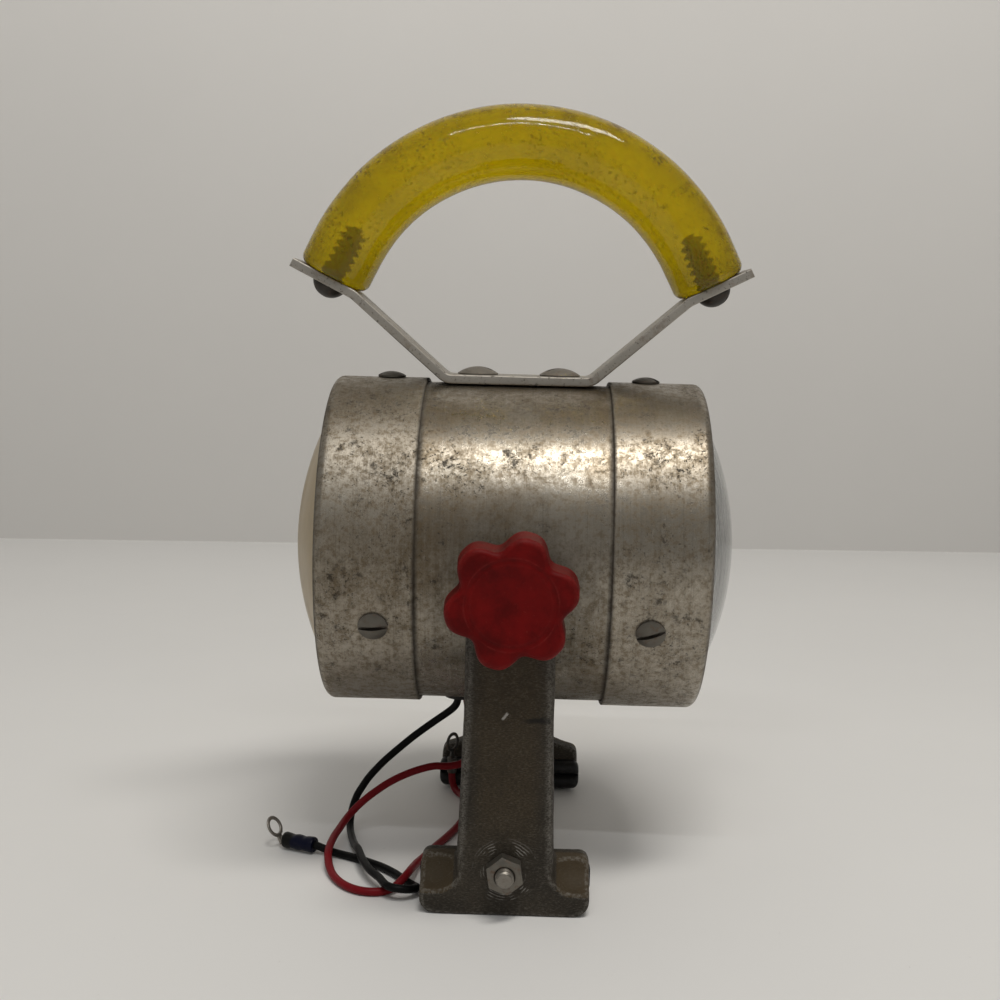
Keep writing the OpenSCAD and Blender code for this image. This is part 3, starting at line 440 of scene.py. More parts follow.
def cast_metal(name, look):
    """Dark rough casting with worn pale edges, pale strips inside the column's edges that are wear and
    painted highlight, brown hollows, a painted shade line under the chip, scuffs round the tie nut and one
    bare chip.
    """
    paint = Paint(name)
    cloud = paint.noise(60, 6, 0.65)
    blot = paint.noise(220, 5, 0.72, shift=0.3)
    grain = paint.noise(850, 4, 0.75)
    fine = paint.noise(2000, 3, 0.7, stretch=(0.45, 1.0, 1.4))
    across, up = paint.axis(X), paint.axis(Z)
    worn = paint.mark("edge").between(0.010, 0.045) * grain.between(0.40, 0.62)
    dust = grain.between(0.54, 0.68) * (0.25 + blot.between(0.40, 0.65))
    hollow = paint.mark("hollow").between(0.25, 0.75)
    front = 1.0 - paint.axis(Y).between(ARM_FRONT + 0.5 * MM, ARM_FRONT + 1.5 * MM)
    near_nut = paint.distance((0.0, ARM_FRONT, TIE_Z)) + (blot - 0.5) * (1.6 * MM)
    ripple = (near_nut * 6500.0).sine()
    ring = near_nut.between(6.4 * MM, 7.4 * MM) * (1.0 - near_nut.between(8.5 * MM, 12.0 * MM))
    scuff = ring * ripple.between(0.1, 1.0) * paint.noise(150, 3, 0.6, shift=0.6).between(0.47, 0.58)
    aside, above = across - CHIP_X, up - CHIP_Z
    along = (aside * 0.62 + above * 0.78 + (blot - 0.5) * MM).size()
    beside = (aside * 0.78 - above * 0.62 + (grain - 0.5) * MM).size()
    chip = along.between(1.7 * MM, 0.9 * MM) * beside.between(0.6 * MM, 0.2 * MM) * front
    # Painted shade: a dark line across the right half of the front face, just under the chip, where the face
    # turns.
    groove_shade = (1.0 - (above + 1.2 * MM + (blot - 0.5) * (2.0 * MM)).size().between(0.3 * MM, 1.5 * MM)) * front
    groove_shade = groove_shade * across.between(3.0 * MM, 8.0 * MM) * 0.85
    brown = (1.0 - across.size().between(7.0 * MM, 13.0 * MM)) * up.between(14 * MM, 40 * MM) * (0.3 + blot)
    # Pale strips just inside the column's edges: wear, and a painted highlight on the rounded edges.
    inside = ARM_HALF - across.size() - up * ARM_TAPER
    worn_strips_and_highlight = inside.between(0.0, 0.8 * MM) * (1.0 - inside.between(1.0 * MM, 3.4 * MM))
    worn_strips_and_highlight = worn_strips_and_highlight * front * up.between(14 * MM, 26 * MM) * fine.between(0.35, 0.65) * (0.3 + blot)
    colour = paint.shades(cloud.between(0.3, 0.7), look.casting, 0.65, 1.35)
    colour = paint.layers(
        colour,
        (brown * 0.75, look.brown),
        (fine.between(0.55, 0.40) * 0.50, shade(look.casting, 0.40)),
        (fine.between(0.52, 0.68) * (0.06 + blot * 0.22), look.worn),
        (hollow * (0.45 + cloud * 0.5), look.brown),
        ((dust * 0.14).most(worn_strips_and_highlight * 0.60), look.worn),
        (groove_shade, (0.008, 0.007, 0.006)),
        (worn * 0.36, look.worn),
        ((scuff * 0.55).most(chip), (0.40, 0.38, 0.35)))
    rough = 0.62 - worn * 0.14 + cloud * 0.10
    height = grain * 0.6 + fine * 0.4
    return paint.done(
        base_color=colour, roughness=rough, specular_ior_level=0.25, normal=paint.bump(height, 0.00026, 0.85))


def amber_plastic(name, look):
    """Thick clear moulding, cloudy inside, soiled in its surface, with painted shade towards its lower ends.
    """
    paint = Paint(name)
    cloud = paint.noise(35, 4, 0.6)
    streak = paint.noise(60, 4, 0.6, stretch=(0.5, 3.0, 0.5), shift=0.3)
    dirty = paint.noise(60, 5, 0.7, shift=0.8).between(0.42, 0.56)
    specks = paint.noise(700, 4, 0.78).between(0.54, 0.60) * dirty
    film = paint.noise(110, 5, 0.7, shift=0.1).between(0.48, 0.70)
    bend_r, bend_z = grip_bend()
    outer = paint.distance((0.0, 0.0, bend_z), (1.0, 0.0, 1.0)).between(bend_r, bend_r + look.grip_radius)
    # Painted shade: the grip darker towards its lower ends, over the strap tabs.
    ends = 1.0 - paint.axis(Z).between(GRIP_LOW + 2.0 * MM, GRIP_LOW + 22.0 * MM)
    colour = paint.mix(cloud.between(0.35, 0.75) * 0.5, look.amber, look.smoke)
    colour = paint.layers(
        colour,
        (film * 0.12 + outer * (0.42 + film * 0.42), (0.17, 0.10, 0.012)),
        (ends * 0.45, (0.20, 0.14, 0.004)),
        (specks * (0.55 + outer * 0.4), (0.05, 0.03, 0.01)))
    rough = 0.03 + film * 0.05 + streak * 0.02 + outer * 0.03 + specks * 0.3
    return paint.done(
        base_color=colour, roughness=rough, ior=1.42, transmission_weight=look.clearness,
        specular_ior_level=0.12, subsurface_weight=1.0, subsurface_radius=(0.012, 0.008, 0.0006),
        subsurface_scale=1.0, normal=paint.bump(streak * 0.5 + film * 0.5, 0.00008, 0.3))


def red_plastic(name, look):
    """Moulded red plastic, scuffed paler along its edges and dusty in its face."""
    paint = Paint(name)
    cloud = paint.noise(120, 5, 0.65)
    grain = paint.noise(900, 4, 0.75)
    edge = paint.mark("edge").between(0.02, 0.10) * (0.35 + grain.between(0.40, 0.62) * 0.65)
    dust = grain.between(0.60, 0.72) * cloud.between(0.40, 0.62)
    colour = paint.shades(cloud.between(0.30, 0.70), look.red, 0.70, 1.30)
    colour = paint.layers(
        colour,
        (edge * 0.55, look.scuffed),
        (dust * 0.25, (0.26, 0.05, 0.04)))
    rough = 0.42 + cloud * 0.16 + dust * 0.15
    return paint.done(
        base_color=colour, roughness=rough, specular_ior_level=0.10,
        normal=paint.bump(grain * 0.6 + cloud * 0.4, 0.00012, 0.6))


def soft_cover(name, colour_of, rough_of=0.40, dust_of=0.25, pale=(0.20, 0.18, 0.16), shine=0.25,
               dark_end=None):
    """Rubber or soft plastic with a little dust, maybe black round one end."""
    paint = Paint(name)
    cloud = paint.noise(180, 5, 0.65)
    fine = paint.noise(1500, 3, 0.6)
    dust = paint.noise(420, 4, 0.7, shift=0.5).between(0.50, 0.75) * dust_of
    colour = paint.shades(cloud, colour_of, 0.75, 1.25)
    colour = paint.mix(dust, colour, pale)
    if dark_end is not None:
        near = paint.distance(dark_end).between(5.2 * MM, 4.4 * MM)
        colour = paint.mix(near, colour, (0.006, 0.006, 0.005))
    return paint.done(
        base_color=colour, roughness=rough_of + cloud * 0.15 + dust * 0.4, specular_ior_level=shine,
        normal=paint.bump(fine * 0.6 + cloud * 0.4, 0.00006, 0.4))


def pressed_glass(name, tint, clear, rough_of):
    """Lens glass with a film of dust."""
    paint = Paint(name)
    film = paint.noise(120, 5, 0.7)
    smear = paint.noise(60, 4, 0.6, stretch=(1.0, 3.0, 0.4), shift=0.4)
    colour = paint.mix(film.between(0.4, 0.8) * 0.5, tint, shade(tint, 0.72))
    return paint.done(
        base_color=colour, roughness=rough_of + smear.between(0.35, 0.8) * 0.18, ior=1.5,
        transmission_weight=clear)


def silvered(name):
    """Silvered inside of a lamp."""
    paint = Paint(name)
    cloud = paint.noise(90, 4, 0.6)
    colour = paint.mix(cloud, (0.72, 0.71, 0.68), (0.90, 0.90, 0.88))
    return paint.done(base_color=colour, roughness=0.05 + cloud * 0.08, metallic=1.0)


def stage_surface(name, colour_of, speck=0.0):
    """Pale matt surface with painted shade towards the foot of the wall, and a few faint specks on the table.
    """
    paint = Paint(name)
    cloud = paint.noise(5, 4, 0.55)
    specks = paint.noise(260, 4, 0.75, shift=0.3).between(0.70, 0.74)
    colour = paint.shades(cloud, colour_of, 0.96, 1.03)
    colour = paint.mix(specks * speck, colour, (0.30, 0.27, 0.23))
    # Painted shade: the wall darker towards its foot, as if lit from above; the table is left even.
    foot = paint.axis(Z).between(0.6, 0.0) * paint.axis(Z).between(0.0, 0.001)
    colour = paint.mix(foot * 0.33, colour, shade(colour_of, 0.4))
    return paint.done(base_color=colour, roughness=0.62 - cloud * 0.1, specular_ior_level=0.3)


# Meshes


def skin(rings, wrap=False, ends=True):
    """Points and faces of a surface through rings of equal length; wrap joins the last ring to the first."""
    count = len(rings[0])
    points = [point for ring in rings for point in ring]
    faces = []
    last = len(rings) if wrap else len(rings) - 1
    for i in range(last):
        for k in range(count):
            here, there = i * count, (i + 1) % len(rings) * count
            faces.append((here + k, here + (k + 1) % count, there + (k + 1) % count, there + k))
    if ends and not wrap:
        faces.append(tuple(range(count)))
        faces.append(tuple(range((len(rings) - 1) * count, len(rings) * count)))
    return points, faces


def circle(count):
    """Angles all round, evenly spaced."""
    return [2 * math.pi * k / count for k in range(count)]


def steps(start, end, count):
    """Evenly spaced numbers from start to end, both included."""
    return [start + (end - start) * i / count for i in range(count + 1)]


def arc(across, up, radius, start, end, count):
    """Points of an arc from one angle to another, both included."""
    return [(across + math.cos(a) * radius, up + math.sin(a) * radius) for a in steps(start, end, count)]


def flat_ring(radius, z, sides):
    """A round ring about Z."""
    return [(math.cos(a) * radius, math.sin(a) * radius, z) for a in circle(sides)]


def quarter(axis):
    """A quarter turn about an axis."""
    return Matrix.Rotation(math.pi / 2, 4, axis)


def wobble(point, scale, depth, seed=0.0):
    """A smooth bump or hollow at a point."""
    return noise.noise(Vector(point) * scale + Vector((seed, seed, seed))) * depth


def reshape(mesh, change):
    """Lets a function change the points and faces of a mesh."""
    work = bmesh.new()
    work.from_mesh(mesh)
    change(work)
    work.to_mesh(mesh)
    work.free()


def merge_and_turn(work):
    """Merges doubles and turns the faces outwards."""
    bmesh.ops.remove_doubles(work, verts=work.verts, dist=1e-7)
    bmesh.ops.recalc_face_normals(work, faces=work.faces)


def tidy_mesh(mesh, angle=35.0):
    """Cleans a mesh and shades it smooth up to an angle."""
    reshape(mesh, merge_and_turn)
    mesh.shade_smooth()
    mesh.set_sharp_from_angle(angle=math.radians(angle))
    return mesh


def mark_edges(mesh):
    """Stores how sharply the surface turns outwards at each point, for wear along edges."""
    work = bmesh.new()
    work.from_mesh(mesh)
    work.normal_update()
    turns = []
    for vert in work.verts:
        around = [edge.other_vert(vert).co for edge in vert.link_edges]
        mean = sum(around, Vector()) / len(around)
        reach = sum((co - vert.co).length for co in around) / len(around)
        turns.append((vert.co - mean).dot(vert.normal) / max(reach, 1e-9))
    work.free()
    mesh.attributes.new("edge", "FLOAT", "POINT").data.foreach_set("value", turns)


def new_object(name, mesh, material=None):
    obj = bpy.data.objects.new(name, mesh)
    bpy.context.scene.collection.objects.link(obj)
    if material is not None:
        mesh.materials.clear()
        mesh.materials.append(material)
    return obj


def plain_mesh(name, shape):
    """A mesh from points and faces."""
    mesh = bpy.data.meshes.new(name)
    mesh.from_pydata([tuple(p) for p in shape[0]], [], shape[1])
    return mesh


def build(name, shape, material, angle=35.0):
    """An object from points and faces."""
    return new_object(name, tidy_mesh(plain_mesh(name, shape), angle), material)


def joined(*shapes):
    """Several shapes as one."""
    points, faces = [], []
    for more_points, more_faces in shapes:
        start = len(points)
        points.extend(more_points)
        faces.extend(tuple(i + start for i in face) for face in more_faces)
    return points, faces


def moved(shape, matrix):
    """A shape in another place."""
    return [matrix @ Vector(p) for p in shape[0]], shape[1]


def fit(obj, body, node):
    """Lets a piece ride on a body, in place of the CAD node that it stands for."""
    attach(obj, body)
    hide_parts(node)
    return obj


def dress(material, *nodes):
    """Gives CAD nodes that are seen as they are a material of their own."""
    for node in nodes:
        slots = NODES[node].data.materials
        slots.clear()
        slots.append(material)


def baked(obj):
    """Turns an object with modifiers into a plain mesh."""
    evaluated = obj.evaluated_get(bpy.context.evaluated_depsgraph_get())
    mesh = bpy.data.meshes.new_from_object(evaluated)
    obj.modifiers.clear()
    old = obj.data
    obj.data = mesh
    mesh.name = obj.name
    if old.users == 0:
        bpy.data.batch_remove([old])
    return obj


def drum_ring(x, radius, count, dents=0.0, seed=0.0):
    """One ring round the drum's axis, a little dented."""
    ring = []
    for a in circle(count):
        spot = (x, math.cos(a) * radius, DRUM_Z + math.sin(a) * radius)
        r = radius + wobble(spot, 34.0, dents, seed) + wobble(spot, 110.0, dents * 0.35, seed)
        ring.append((x, math.cos(a) * r, DRUM_Z + math.sin(a) * r))
    return ring


def threaded_bar(radius, length, pitch, depth=0.0, taper=0.0, sides=32):
    """A bar up Z from zero with a thread cut into it, chamfered and maybe tapered at its far end."""
    rings = []
    count = max(8, int(length / pitch * 8))
    for along in steps(0.0, length, count):
        chamfer = max(0.0, along - (length - pitch))
        ring = []
        for a in circle(sides):
            phase = (along / pitch - a / (2 * math.pi)) % 1.0
            r = radius * (1 - taper * along / length) - depth * abs(2 * phase - 1) - chamfer * 0.5
            ring.append((math.cos(a) * r, math.sin(a) * r, along))
        rings.append(ring)
    return skin(rings)


def hex_piece(flats, height, bore=0.0, sides=72, lower=True):
    """A nut or bolt head up Z from zero, with its corners chamfered."""
    half = flats / 2
    rim = half * 0.86
    slope = math.tan(math.radians(28))
    tiny = 0.1 * MM

    def six_sided(base, sign):
        ring = []
        for a in circle(sides):
            r = half / math.cos((a + math.pi / 6) % (math.pi / 3) - math.pi / 6)
            ring.append((math.cos(a) * r, math.sin(a) * r, base + sign * (r - rim) * slope))
        return ring

    rings = [
        flat_ring(bore or tiny, 0.0, sides), flat_ring(rim, 0.0, sides),
        six_sided(0.0, 1 if lower else 0), six_sided(height, -1),
        flat_ring(rim * 0.985, height, sides), flat_ring(max(bore * 1.15, tiny), height, sides),
    ]
    if bore:
        rings.append(flat_ring(bore, height - 0.4 * MM, sides))
        return skin(rings, wrap=True)
    return skin(rings)


def turned(profile, sides=48):
    """A piece turned about Z from its half section, from the axis to the axis."""
    return skin([flat_ring(r, z, sides) for r, z in profile])


def crowned_head(radius, height, edge):
    """A screw head with a crown over a short straight edge."""
    tiny = 0.02 * MM
    profile = [(tiny, 0.0), (radius * 0.97, 0.0), (radius, 0.12 * MM), (radius, edge)]
    rise = height - edge
    ball = (radius * radius + rise * rise) / (2 * rise)
    reach = math.asin(min(1.0, radius / ball))
    crown = arc(0.0, height - ball, ball, math.pi / 2 - reach, math.pi / 2, 10)
    return turned(profile + [(max(tiny, r), z) for r, z in crown[1:]])


def along_axis(place, direction, turn=0.0):
    """Puts Z of a shape along a direction at a place."""
    aim = Vector(direction).to_track_quat("Z", "Y").to_matrix().to_4x4()
    return Matrix.Translation(Vector(place)) @ aim @ Matrix.Rotation(turn, 4, "Z")


# Geometry nodes


def node_group(name, inputs):
    """An empty geometry tree with named inputs."""
    tree = bpy.data.node_groups.new(name, "GeometryNodeTree")
    tree.interface.new_socket("Geometry", in_out="INPUT", socket_type="NodeSocketGeometry")
    for label, kind in inputs:
        tree.interface.new_socket(label, in_out="INPUT", socket_type=kind)
    tree.interface.new_socket("Geometry", in_out="OUTPUT", socket_type="NodeSocketGeometry")
    return tree


def add_node(tree, kind, settings=None, **links):
    """Adds a geometry node; links name its sockets with underscores for spaces."""
    node = tree.nodes.new(kind)
    for key, value in (settings or {}).items():
        setattr(node, key, value)
    for key, value in links.items():
        socket = node.inputs[key.replace("_", " ")]
        if isinstance(value, bpy.types.NodeSocket):
            tree.links.new(value, socket)
        else:
            socket.default_value = value
    return node


def run_tree(obj, tree, values):
    """Runs a geometry tree on an object and leaves a plain mesh."""
    modifier = obj.modifiers.new(tree.name, "NODES")
    modifier.node_group = tree
    names = {item.name: item.identifier for item in tree.interface.items_tree
             if item.item_type == "SOCKET" and item.in_out == "INPUT"}
    for label, value in values.items():
        modifier[names[label]] = value
    bpy.context.view_layer.update()
    return baked(obj)


def fastener_tree():
    """Puts a fastener at every point, with its head along the point's own direction."""
    tree = node_group("Fasteners", [("Fastener", "NodeSocketObject"), ("Finish", "NodeSocketMaterial")])
    start = tree.nodes.new("NodeGroupInput")
    end = tree.nodes.new("NodeGroupOutput")
    points = add_node(tree, "GeometryNodeMeshToPoints", Mesh=start.outputs["Geometry"])
    way = add_node(tree, "GeometryNodeInputNamedAttribute", {"data_type": "FLOAT_VECTOR"}, Name="way")
    turn = add_node(tree, "GeometryNodeInputNamedAttribute", {"data_type": "FLOAT"}, Name="turn")
    aim = add_node(tree, "FunctionNodeAlignRotationToVector", {"axis": "Z"}, Vector=way.outputs["Attribute"])
    spin = add_node(tree, "FunctionNodeAxisAngleToRotation", Axis=(0, 0, 1), Angle=turn.outputs["Attribute"])
    both = add_node(
        tree, "FunctionNodeRotateRotation", {"rotation_space": "LOCAL"},
        Rotation=aim.outputs[0], Rotate_By=spin.outputs[0])
    source = add_node(tree, "GeometryNodeObjectInfo", Object=start.outputs["Fastener"])
    copies = add_node(
        tree, "GeometryNodeInstanceOnPoints", Points=points.outputs[0], Instance=source.outputs["Geometry"],
        Rotation=both.outputs[0])
    real = add_node(tree, "GeometryNodeRealizeInstances", Geometry=copies.outputs[0])
    finish = add_node(
        tree, "GeometryNodeSetMaterial", Geometry=real.outputs[0], Material=start.outputs["Finish"])
    tree.links.new(finish.outputs[0], end.inputs[0])
    return tree


def bar_tree():
    """Bends a flat bar with rounded edges along a bent line."""
    sizes = ["Width", "Thickness", "Edge", "Bend"]
    tree = node_group(
        "Bent bar", [(size, "NodeSocketFloat") for size in sizes] + [("Finish", "NodeSocketMaterial")])
    start = tree.nodes.new("NodeGroupInput")
    end = tree.nodes.new("NodeGroupOutput")
    line = add_node(tree, "GeometryNodeMeshToCurve", Mesh=start.outputs["Geometry"])
    bent = add_node(
        tree, "GeometryNodeFilletCurve", {"mode": "POLY"}, Curve=line.outputs[0],
        Radius=start.outputs["Bend"], Count=10, Limit_Radius=True)
    fine = add_node(
        tree, "GeometryNodeResampleCurve", {"mode": "LENGTH"}, Curve=bent.outputs[0], Length=1.2 * MM)
    upright = add_node(tree, "GeometryNodeSetCurveNormal", {"mode": "Z_UP"}, Curve=fine.outputs[0])
    block = add_node(
        tree, "GeometryNodeCurvePrimitiveQuadrilateral", {"mode": "RECTANGLE"},
        Width=start.outputs["Width"], Height=start.outputs["Thickness"])
    edges = add_node(
        tree, "GeometryNodeFilletCurve", {"mode": "POLY"}, Curve=block.outputs[0],
        Radius=start.outputs["Edge"], Count=4, Limit_Radius=True)
    solid = add_node(
        tree, "GeometryNodeCurveToMesh",
        Curve=upright.outputs[0], Profile_Curve=edges.outputs[0], Fill_Caps=True)
    real = add_node(tree, "GeometryNodeRealizeInstances", Geometry=solid.outputs[0])
    finish = add_node(
        tree, "GeometryNodeSetMaterial", Geometry=real.outputs[0], Material=start.outputs["Finish"])
    tree.links.new(finish.outputs[0], end.inputs[0])
    return tree


def fastener_set(name, template, places, material):
    """A plain mesh with a copy of a fastener at each place: (point, direction of its head, turn)."""
    mesh = bpy.data.meshes.new(name)
    mesh.from_pydata([tuple(p) for p, _, _ in places], [], [])
    ways = [c for _, way, _ in places for c in Vector(way).normalized()]
    mesh.attributes.new("way", "FLOAT_VECTOR", "POINT").data.foreach_set("vector", ways)
    mesh.attributes.new("turn", "FLOAT", "POINT").data.foreach_set("value", [t for _, _, t in places])
    obj = new_object(name, mesh)
    tree = bpy.data.node_groups.get("Fasteners") or fastener_tree()
    run_tree(obj, tree, {"Fastener": template, "Finish": material})
    obj.data.shade_smooth()
    obj.data.set_sharp_from_angle(angle=math.radians(32))
    bpy.data.batch_remove([template])
    return obj


def slotted_template(name, head, slot_width, slot_depth, height, shank):
    """A slotted screw up Z, with its slot cut by a bar and its threaded shank below."""
    obj = build(name, head, None)
    reach = 0.02
    bar = [(x, y, z) for x in (-reach, reach) for y in (-slot_width / 2, slot_width / 2)
           for z in (height - slot_depth, height + reach)]
    sides = [(0, 1, 3, 2), (4, 6, 7, 5), (0, 4, 5, 1), (2, 3, 7, 6), (0, 2, 6, 4), (1, 5, 7, 3)]
    cutter = build(name + "_slot", (bar, sides), None)
    cut = obj.modifiers.new("slot", "BOOLEAN")
    cut.operation = "DIFFERENCE"
    cut.solver = "EXACT"
    cut.object = cutter
    baked(obj)
    bpy.data.batch_remove([cutter])
    extra = plain_mesh(name + "_shank", shank)
    tidy_mesh(extra)
    reshape(obj.data, lambda work: work.from_mesh(extra))
    bpy.data.batch_remove([extra])
    return obj


def downwards(shape):
    """A shape turned over, so that it hangs below Z zero."""
    return moved(shape, Matrix.Rotation(math.pi, 4, "X"))


# Stage


def add_lamp(name, place, target, width, height, power, colour):
    """A soft rectangular lamp that faces a place."""
    data = bpy.data.lights.new(name, "AREA")
    data.shape = "RECTANGLE"
    data.size = width
    data.size_y = height
    data.energy = power
    data.color = colour
    lamp = bpy.data.objects.new(name, data)
    lamp.location = place
    lamp.rotation_euler = (Vector(target) - Vector(place)).to_track_quat("-Z", "Y").to_euler()
    bpy.context.scene.collection.objects.link(lamp)


def add_camera(look):
    """The camera, turned by its yaw, its pitch and its roll."""
    data = bpy.data.cameras.new("camera")
    data.sensor_width = 36.0
    data.lens = look.lens
    data.clip_start = 0.01
    forward = Vector((math.sin(look.yaw) * math.cos(look.pitch),
                      math.cos(look.yaw) * math.cos(look.pitch), -math.sin(look.pitch)))
    right = Vector((math.cos(look.yaw), -math.sin(look.yaw), 0.0))
    up = right.cross(forward)
    side = math.cos(look.roll) * right + math.sin(look.roll) * up
    top = -math.sin(look.roll) * right + math.cos(look.roll) * up
    turn = Matrix((side, top, -forward)).transposed().to_4x4()
    camera = bpy.data.objects.new("camera", data)
    camera.matrix_world = Matrix.Translation(Vector(look.eye)) @ turn
    bpy.context.scene.collection.objects.link(camera)
    return camera


class LANTERN_OT_stage(bpy.types.Operator):
    """Set up the table, the wall, the lamps and the camera."""

    bl_idname = "lantern.stage"
    bl_label = "Stage and camera"

    def execute(self, context):
        look = context.scene.lantern_stage
        scene = context.scene
        scene.view_settings.view_transform = "Standard"
        wide, tall, near = 6.0, 3.0, -6.0
        left = look.wall_distance - wide * math.tan(look.wall_turn)
        right = look.wall_distance + wide * math.tan(look.wall_turn)
        floor = build("table", ([(-wide, near, 0), (wide, near, 0), (wide, right, 0), (-wide, left, 0)],
                                [(0, 1, 2, 3)]), stage_surface("table_top", look.table, 0.5))
        wall = build("wall", ([(-wide, left, 0), (wide, right, 0), (wide, right, tall), (-wide, left, tall)],
                              [(0, 1, 2, 3)]), stage_surface("wall_paint", look.wall))
        target = (0.0, 0.0, 0.12)
        add_lamp("strip_lamp", (-0.05, -1.02, 1.50), target, width=0.9, height=0.03, power=3.6,
                 colour=(0.96, 0.98, 1.0))
        add_lamp("ceiling_lamp", (0.26, -0.45, 1.55), target, width=0.80, height=0.24, power=10.6,
                 colour=(1.0, 0.97, 0.92))
        world = bpy.data.worlds.new("room")
        scene.world = world
        world.use_nodes = True
        sky = world.node_tree.nodes["Background"]
        sky.inputs["Color"].default_value = (0.80, 0.79, 0.77, 1.0)
        sky.inputs["Strength"].default_value = 0.34
        scene.camera = add_camera(look)
        return {"FINISHED"}


# Leads

BLACK_X, RED_X, EXIT_Z = -19.7, -16.3, 53.9
ON_TABLE, ON_LEAD = 1.5, 4.6

# Routes in millimetres, as in the part's source
BLACK_ROUTE = [
    (BLACK_X, 0, EXIT_Z), (BLACK_X, 0, EXIT_Z - 1.7), (-20.2, 0.4, 50.4), (-21.5, 1.2, 48.5),
    (-23.8, 2.3, 46.3), (-26.9, 3.5, 43.7), (-30.2, 4.4, 41), (-33.5, 5, 38.3), (-36.8, 5.2, 35.6),
    (-40, 5.2, 32.8), (-43.6, 5, 29.6), (-47.4, 4.6, 26.1), (-50.6, 4.2, 22.7), (-53.4, 3.9, 19.3),
    (-55.6, 3.6, 15.9), (-57.3, 3.3, 13), (-58.5, 2.9, 9.8), (-59.3, 2, 6.6), (-59.5, -0.4, 3.6),
    (-58.8, -5, 1.8), (-57.6, -10.4, ON_TABLE), (-56.2, -16.4, 1.8), (-54.6, -23, 3), (-53.3, -28.2, 4.3),
    (-52.4, -31.6, ON_LEAD), (-51.2, -35.9, ON_LEAD), (-49.4, -41.6, ON_LEAD),
    (-46.5, -48.6, ON_LEAD), (-42.8, -54.6, ON_LEAD), (-40.4, -59.7, ON_LEAD), (-38.75, -61.8, ON_LEAD),
    (-36.4, -62.9, 4.5), (-33.8, -62.8, 4.2), (-31.5, -61.5, 3.7), (-30.05, -59.3, 3.1), (-29.75, -56.7, 2.4),
    (-30.7, -54.3, 1.8), (-33.2, -50.7, ON_TABLE), (-35.6, -47.3, ON_TABLE), (-38.5, -43.2, ON_TABLE),
    (-43.2, -38.2, ON_TABLE), (-48.1, -34.4, ON_TABLE), (-52, -31.7, ON_TABLE), (-55.4, -29.6, ON_TABLE),
    (-58.8, -27.8, ON_TABLE), (-62.4, -26.4, 1.8), (-65.6, -25.4, 2.5), (-68.47, -24.38, 3.2),
    (-69.4, -24, 3.2),
]
RED_ROUTE = [
    (RED_X, 0, EXIT_Z), (RED_X, 0, EXIT_Z - 1.7), (-15.6, 0.4, 48.6), (-14.4, 0.7, 44.4),
    (-13.2, 0.4, 39.8), (-13, -0.2, 35.2), (-14.4, -0.9, 31), (-18, -1.6, 28), (-22.9, -2, 27),
    (-28, -2.2, 26.9), (-33.5, -2.5, 25.5), (-39.1, -2.8, 23.3), (-44.7, -3, 20.3), (-50.2, -3.3, 16.4),
    (-54.7, -4, 12.7), (-58.4, -6, 9.2), (-60.4, -10.2, 7.4), (-61.5, -15.4, 6.6), (-62.6, -22, 6),
    (-63.1, -29, 5.4), (-63, -34.4, 4.5), (-62, -39.8, 2.9), (-59.8, -46, 1.7), (-56.6, -51.8, ON_TABLE),
    (-52.6, -56.4, ON_TABLE), (-48, -59, ON_TABLE), (-43.8, -59.4, ON_TABLE), (-40.4, -58.4, ON_TABLE),
    (-37.4, -56.6, 2.2), (-35.1, -53.9, 3.6), (-33.5, -50.9, ON_LEAD), (-32.6, -47, ON_LEAD),
    (-32, -41.5, 3.6), (-31.2, -35, 2.4), (-29.6, -28, ON_TABLE), (-26.2, -18, ON_TABLE),
    (-22, -6.4, ON_TABLE), (-18.6, 5, ON_TABLE), (-16.8, 16, ON_TABLE), (-16.6, 25, ON_TABLE),
    (-17.4, 32.6, ON_TABLE), (-19, 38.6, ON_TABLE), (-21.04, 42.62, ON_TABLE), (-22.32, 45.11, 2.25),
    (-23.26, 46.93, 4.3), (-23.6, 47.6, 7.1), (-23.6, 47.6, 8),
]
BLACK_END = Vector(BLACK_ROUTE[-1]) * MM
RED_END = Vector(RED_ROUTE[-1]) * MM
BLACK_TURN = math.radians(158)
RED_TURN = math.radians(55)
TONGUE_LIFT = math.radians(58)


def smooth_route(route, parts=6):
    """A smooth line through the route's points, in metres."""
    points = [Vector(p) * MM for p in route]
    padded = [2 * points[0] - points[1], *points, 2 * points[-1] - points[-2]]
    line = []
    for a, b, c, d in zip(padded, padded[1:], padded[2:], padded[3:]):
        for i in range(parts):
            t = i / parts
            line.append(0.5 * (2 * b + (c - a) * t + (2 * a - 5 * b + 4 * c - d) * t ** 2
                               + (3 * b - a - 3 * c + d) * t ** 3))
    return line + [points[-1]]


def tube(line, radius, sides=14):
    """A round tube along a line, carried without twisting."""
    rings = []
    side = Vector((1.0, 0.2, 0.1))
    for i, point in enumerate(line):
        way = (line[min(i + 1, len(line) - 1)] - line[max(i - 1, 0)]).normalized()
        side = (side - side.dot(way) * way).normalized()
        other = way.cross(side)
        rings.append([point + radius * (math.cos(a) * side + math.sin(a) * other) for a in circle(sides)])
    return skin(rings)


def ring_tongue(hole, outer, thick, neck, neck_half):
    """A ring terminal's tongue up Z from zero, flat across Y, with rounded edges."""
    middle_z = neck + outer
    rim = thick * 0.3
    around = circle(40)

    def loop(r, y):
        return [(math.sin(a) * r, y, middle_z - math.cos(a) * r) for a in around]

    half = thick / 2
    upper = [(hole, half - rim), (hole + rim, half), (outer - rim, half), (outer, half - rim)]
    lower = [(r, -y) for r, y in reversed(upper)]
    rings = [loop(r, y) for r, y in upper + lower]
    corners = [(-neck_half, -half), (neck_half, -half), (neck_half, half), (-neck_half, half)]
    stem = [[(x * (1 - 0.1 * i), y, z) for x, y in corners]
            for i, z in enumerate(steps(-0.4 * MM, middle_z - (hole + outer) / 2, 4))]
    return joined(skin(rings, wrap=True), skin(stem))


